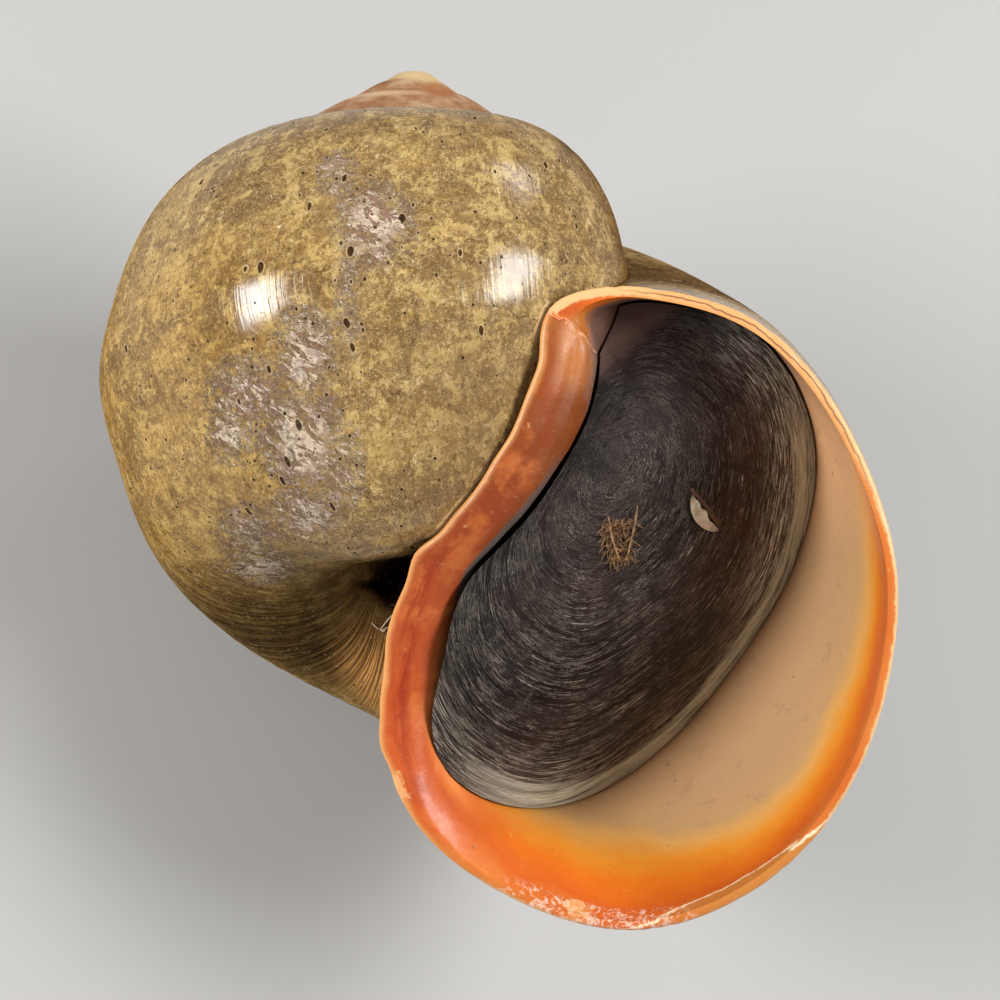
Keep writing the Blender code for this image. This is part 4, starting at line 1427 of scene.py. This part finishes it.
def operculum_material():
    """Dark horn with fine pale scratches that follow its growth rings."""
    p = Paint("operculum_horn")
    place = p.place()
    ring, east, north = p.attribute("ring")
    rim, across, up = p.attribute("rim")
    p.colour = p.ramp(
        p.noise(place, 0.07, 3.0, 0.55, 0.4),
        ((0.36, (0.005, 0.0035, 0.003)), (0.5, (0.009, 0.007, 0.006)), (0.64, (0.02, 0.011, 0.01))),
    )
    purple = p.ease(across, 34.0, 44.0) * p.ease(p.noise(place, 0.18, 3.0, 0.6, 3.6), 0.4, 0.6)
    p.lay(purple * 0.8, (0.036, 0.014, 0.013))

    # Growth rings, and pale scratches along them.
    curl = p.join(ring * 1.5, east * 1.6, north * 1.6)
    rings = p.noise(curl, 1.4, 5.0, 0.78, 1.1)
    patchy = p.ease(p.noise(place, 0.13, 5.0, 0.7, 7.0), 0.42, 0.6, 0.12, 1.0)
    traced = p.ease(p.noise(place, 0.35, 4.0, 0.7, 19.0), 0.4, 0.6, 0.25, 0.95)
    p.lay(p.ease(rings, 0.54, 0.6) * (traced * 0.6), (0.1, 0.083, 0.07))
    p.lay(p.near(rings, 0.5, 0.016) * (traced * 0.9), (0.23, 0.2, 0.175))
    hair = p.join(ring * 5.0, east * 4.5, north * 4.5)
    scratches = p.ease(p.noise(hair, 1.25, 4.0, 0.8, 2.5, 0.06), 0.57, 0.64)
    low = p.either(p.ease(north, 0.5, -0.4, 0.35, 1.0), p.ease(east, 0.45, 0.8))
    scratches = scratches * (patchy * (low * p.ease(ring, 4.0, 22.0, 0.35, 1.0)))
    outside = p.ease(ring, 22.0, 28.5) * low
    outside = outside * p.ease(p.noise(hair, 2.2, 3.0, 0.8, 8.5, 0.06), 0.5, 0.6)
    frayed = p.ease(ring, 19.0, 25.0) * p.ease(east, 0.55, 0.85)
    frayed = frayed * p.ease(p.noise(hair, 1.6, 4.0, 0.8, 27.0, 0.3), 0.5, 0.57)
    scratches = p.either(p.either(scratches, outside), frayed)
    bright = p.mix(p.ease(east, 0.3, 0.8), (0.46, 0.4, 0.33), (0.7, 0.72, 0.68))
    p.lay(scratches * 0.9, bright)

    # Crumbs and specks, the dusty upper corner and the pale border.
    crumbs = p.ease(p.noise(place, 1.6, 5.0, 0.85, 41.0), 0.6, 0.68)
    crumbs = crumbs * (p.ease(ring, 15.0, 27.0, 0.15, 1.0) * patchy)
    p.lay(crumbs * 0.8, (0.3, 0.26, 0.19))
    specks = p.ease(p.noise(place, 2.0, 2.0, 0.5, 5.0), 0.7, 0.78, 0.0, 0.5)
    p.lay(specks, (0.2, 0.17, 0.13))
    slope = across * -0.669 + up * 0.744
    dusty = slope + 48.33 + p.noise(place, 0.5, 4.0, 0.7, 23.0) * 3.0
    p.lay(p.ease(dusty, 0.4, 4.0, 0.0, 0.9), (0.21, 0.125, 0.105))
    east_side = p.ease(east, -0.5, -0.1) * p.ease(north, 0.35, -0.05)
    inside = rim + (rings - 0.5) * 3.0
    border = p.ease(inside, 4.6, 3.0) * east_side
    p.lay(border * 0.85, (0.52, 0.56, 0.46))
    p.lay(border * p.ease(rings, 0.52, 0.58, 0.0, 0.75), (0.1, 0.085, 0.065))
    p.lay(border * p.near(rings, 0.47, 0.03), (0.62, 0.6, 0.5))
    rough = p.ease(rings, 0.3, 0.7, 0.42, 0.6)
    relief = rings * 0.14 + scratches * 0.06
    relief = relief + p.noise(place, 0.8, 4.0, 0.6, 8.0) * 0.1
    return p.finish(rough, p.bump(relief), 0.12)


def plain_material(name, dark, light, scale, roughness):
    """Two close colours mottled together, for a small piece of debris."""
    p = Paint(name)
    place = p.place()
    mottle = p.noise(place, scale, 4.0, 0.65, 0.5)
    p.colour = p.mix(p.ease(mottle, 0.35, 0.65), dark, light)
    rough = p.ease(mottle, 0.3, 0.7, roughness, roughness + 0.15)
    return p.finish(rough, p.bump(mottle, 0.1 * MM))


# ---- the scene
def add_piece(ob, name, materials, move, node=None):
    ob.name = name
    ob.data.name = name
    ob.data.transform(move)
    # Clearing the slots would put every face in the first one.
    slots = read(ob.data.polygons, "material_index", 1, int).ravel()
    ob.data.materials.clear()
    for material in materials:
        ob.data.materials.append(material)
    ob.data.polygons.foreach_set("material_index", np.minimum(slots, len(materials) - 1))
    ob.data.polygons.foreach_set("use_smooth", [True] * len(ob.data.polygons))
    ob.data.set_sharp_from_angle(angle=SHARP_ANGLE)
    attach(ob, "root")
    if node:
        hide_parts(node)


def add_light(number, place, aim, width, height, watts, colour):
    light = bpy.data.lights.new(f"soft_light_{number}", "AREA")
    light.shape = "RECTANGLE"
    light.size = width
    light.size_y = height
    light.energy = watts
    light.color = colour
    ob = bpy.data.objects.new(light.name, light)
    turn = (aim - place).to_track_quat("-Z", "Y").to_matrix().to_4x4()
    ob.matrix_world = Matrix.Translation(place) @ turn
    bpy.context.scene.collection.objects.link(ob)


def add_surroundings(place):
    """Camera, lights, fill and floor."""
    scene = bpy.context.scene
    camera = bpy.data.cameras.new("camera")
    camera.lens = CAMERA_LENS
    camera.clip_start = 0.01
    eye = bpy.data.objects.new("camera", camera)
    eye.matrix_world = place @ Matrix.Translation(Vector(CAMERA_PLACE) * MM)
    scene.collection.objects.link(eye)
    scene.camera = eye
    middle = (Vector(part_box("shell")[0]) + Vector(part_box("shell")[1])) / 2
    for number, (direction, distance, width, height, watts, colour) in enumerate(LIGHTS):
        at = middle + Vector(direction).normalized() * distance
        add_light(number, at, middle, width, height, watts, colour)
    world = bpy.data.worlds.new("soft_fill")
    world.use_nodes = True
    background = world.node_tree.nodes["Background"]
    background.inputs["Color"].default_value = (*WORLD_COLOUR, 1.0)
    background.inputs["Strength"].default_value = WORLD_STRENGTH
    scene.world = world
    scene.view_settings.view_transform = "Standard"
    mesh = bpy.data.meshes.new("floor")
    half = FLOOR_SIZE / 2
    corners = [(-half, -half, 0), (half, -half, 0), (half, half, 0), (-half, half, 0)]
    mesh.from_pydata(corners, [], [(0, 1, 2, 3)])
    p = Paint("pale_floor")
    p.put(p.shader.inputs["Base Color"], FLOOR_COLOUR)
    p.put(p.shader.inputs["Roughness"], FLOOR_ROUGHNESS)
    mesh.materials.append(p.material)
    floor = bpy.data.objects.new("floor", mesh)
    scene.collection.objects.link(floor)


def main():
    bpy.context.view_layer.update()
    shell, place, view = shell_surface()
    coil_to_frame = place @ view
    strands = threads(mesh_points(shell.data) / MM)
    plate = operculum_plate()
    looks = (skin_material(), mouth_material())
    add_piece(shell, "snail_shell", looks, coil_to_frame, "shell")
    # The back is worn flat where it rests on the floor.
    points = mesh_points(shell.data)
    points[:, 2] = np.maximum(points[:, 2], 0.0)
    set_points(shell.data, points)
    looks = (operculum_material(),)
    add_piece(plate, "horny_operculum", looks, coil_to_frame, "operculum")
    debris = (tuft(), chip(), chip_stalk(), strands)
    for ob, (name, slot, *looks) in zip(debris, DEBRIS_LOOKS):
        add_piece(ob, name, (plain_material(*looks),), coil_to_frame)
    add_surroundings(place)


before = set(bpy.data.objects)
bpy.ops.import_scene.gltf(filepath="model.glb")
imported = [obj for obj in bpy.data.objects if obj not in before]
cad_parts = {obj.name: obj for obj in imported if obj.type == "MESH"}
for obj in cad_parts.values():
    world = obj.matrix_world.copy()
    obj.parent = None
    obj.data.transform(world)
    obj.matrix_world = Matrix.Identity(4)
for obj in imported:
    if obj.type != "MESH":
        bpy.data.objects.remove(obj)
main()
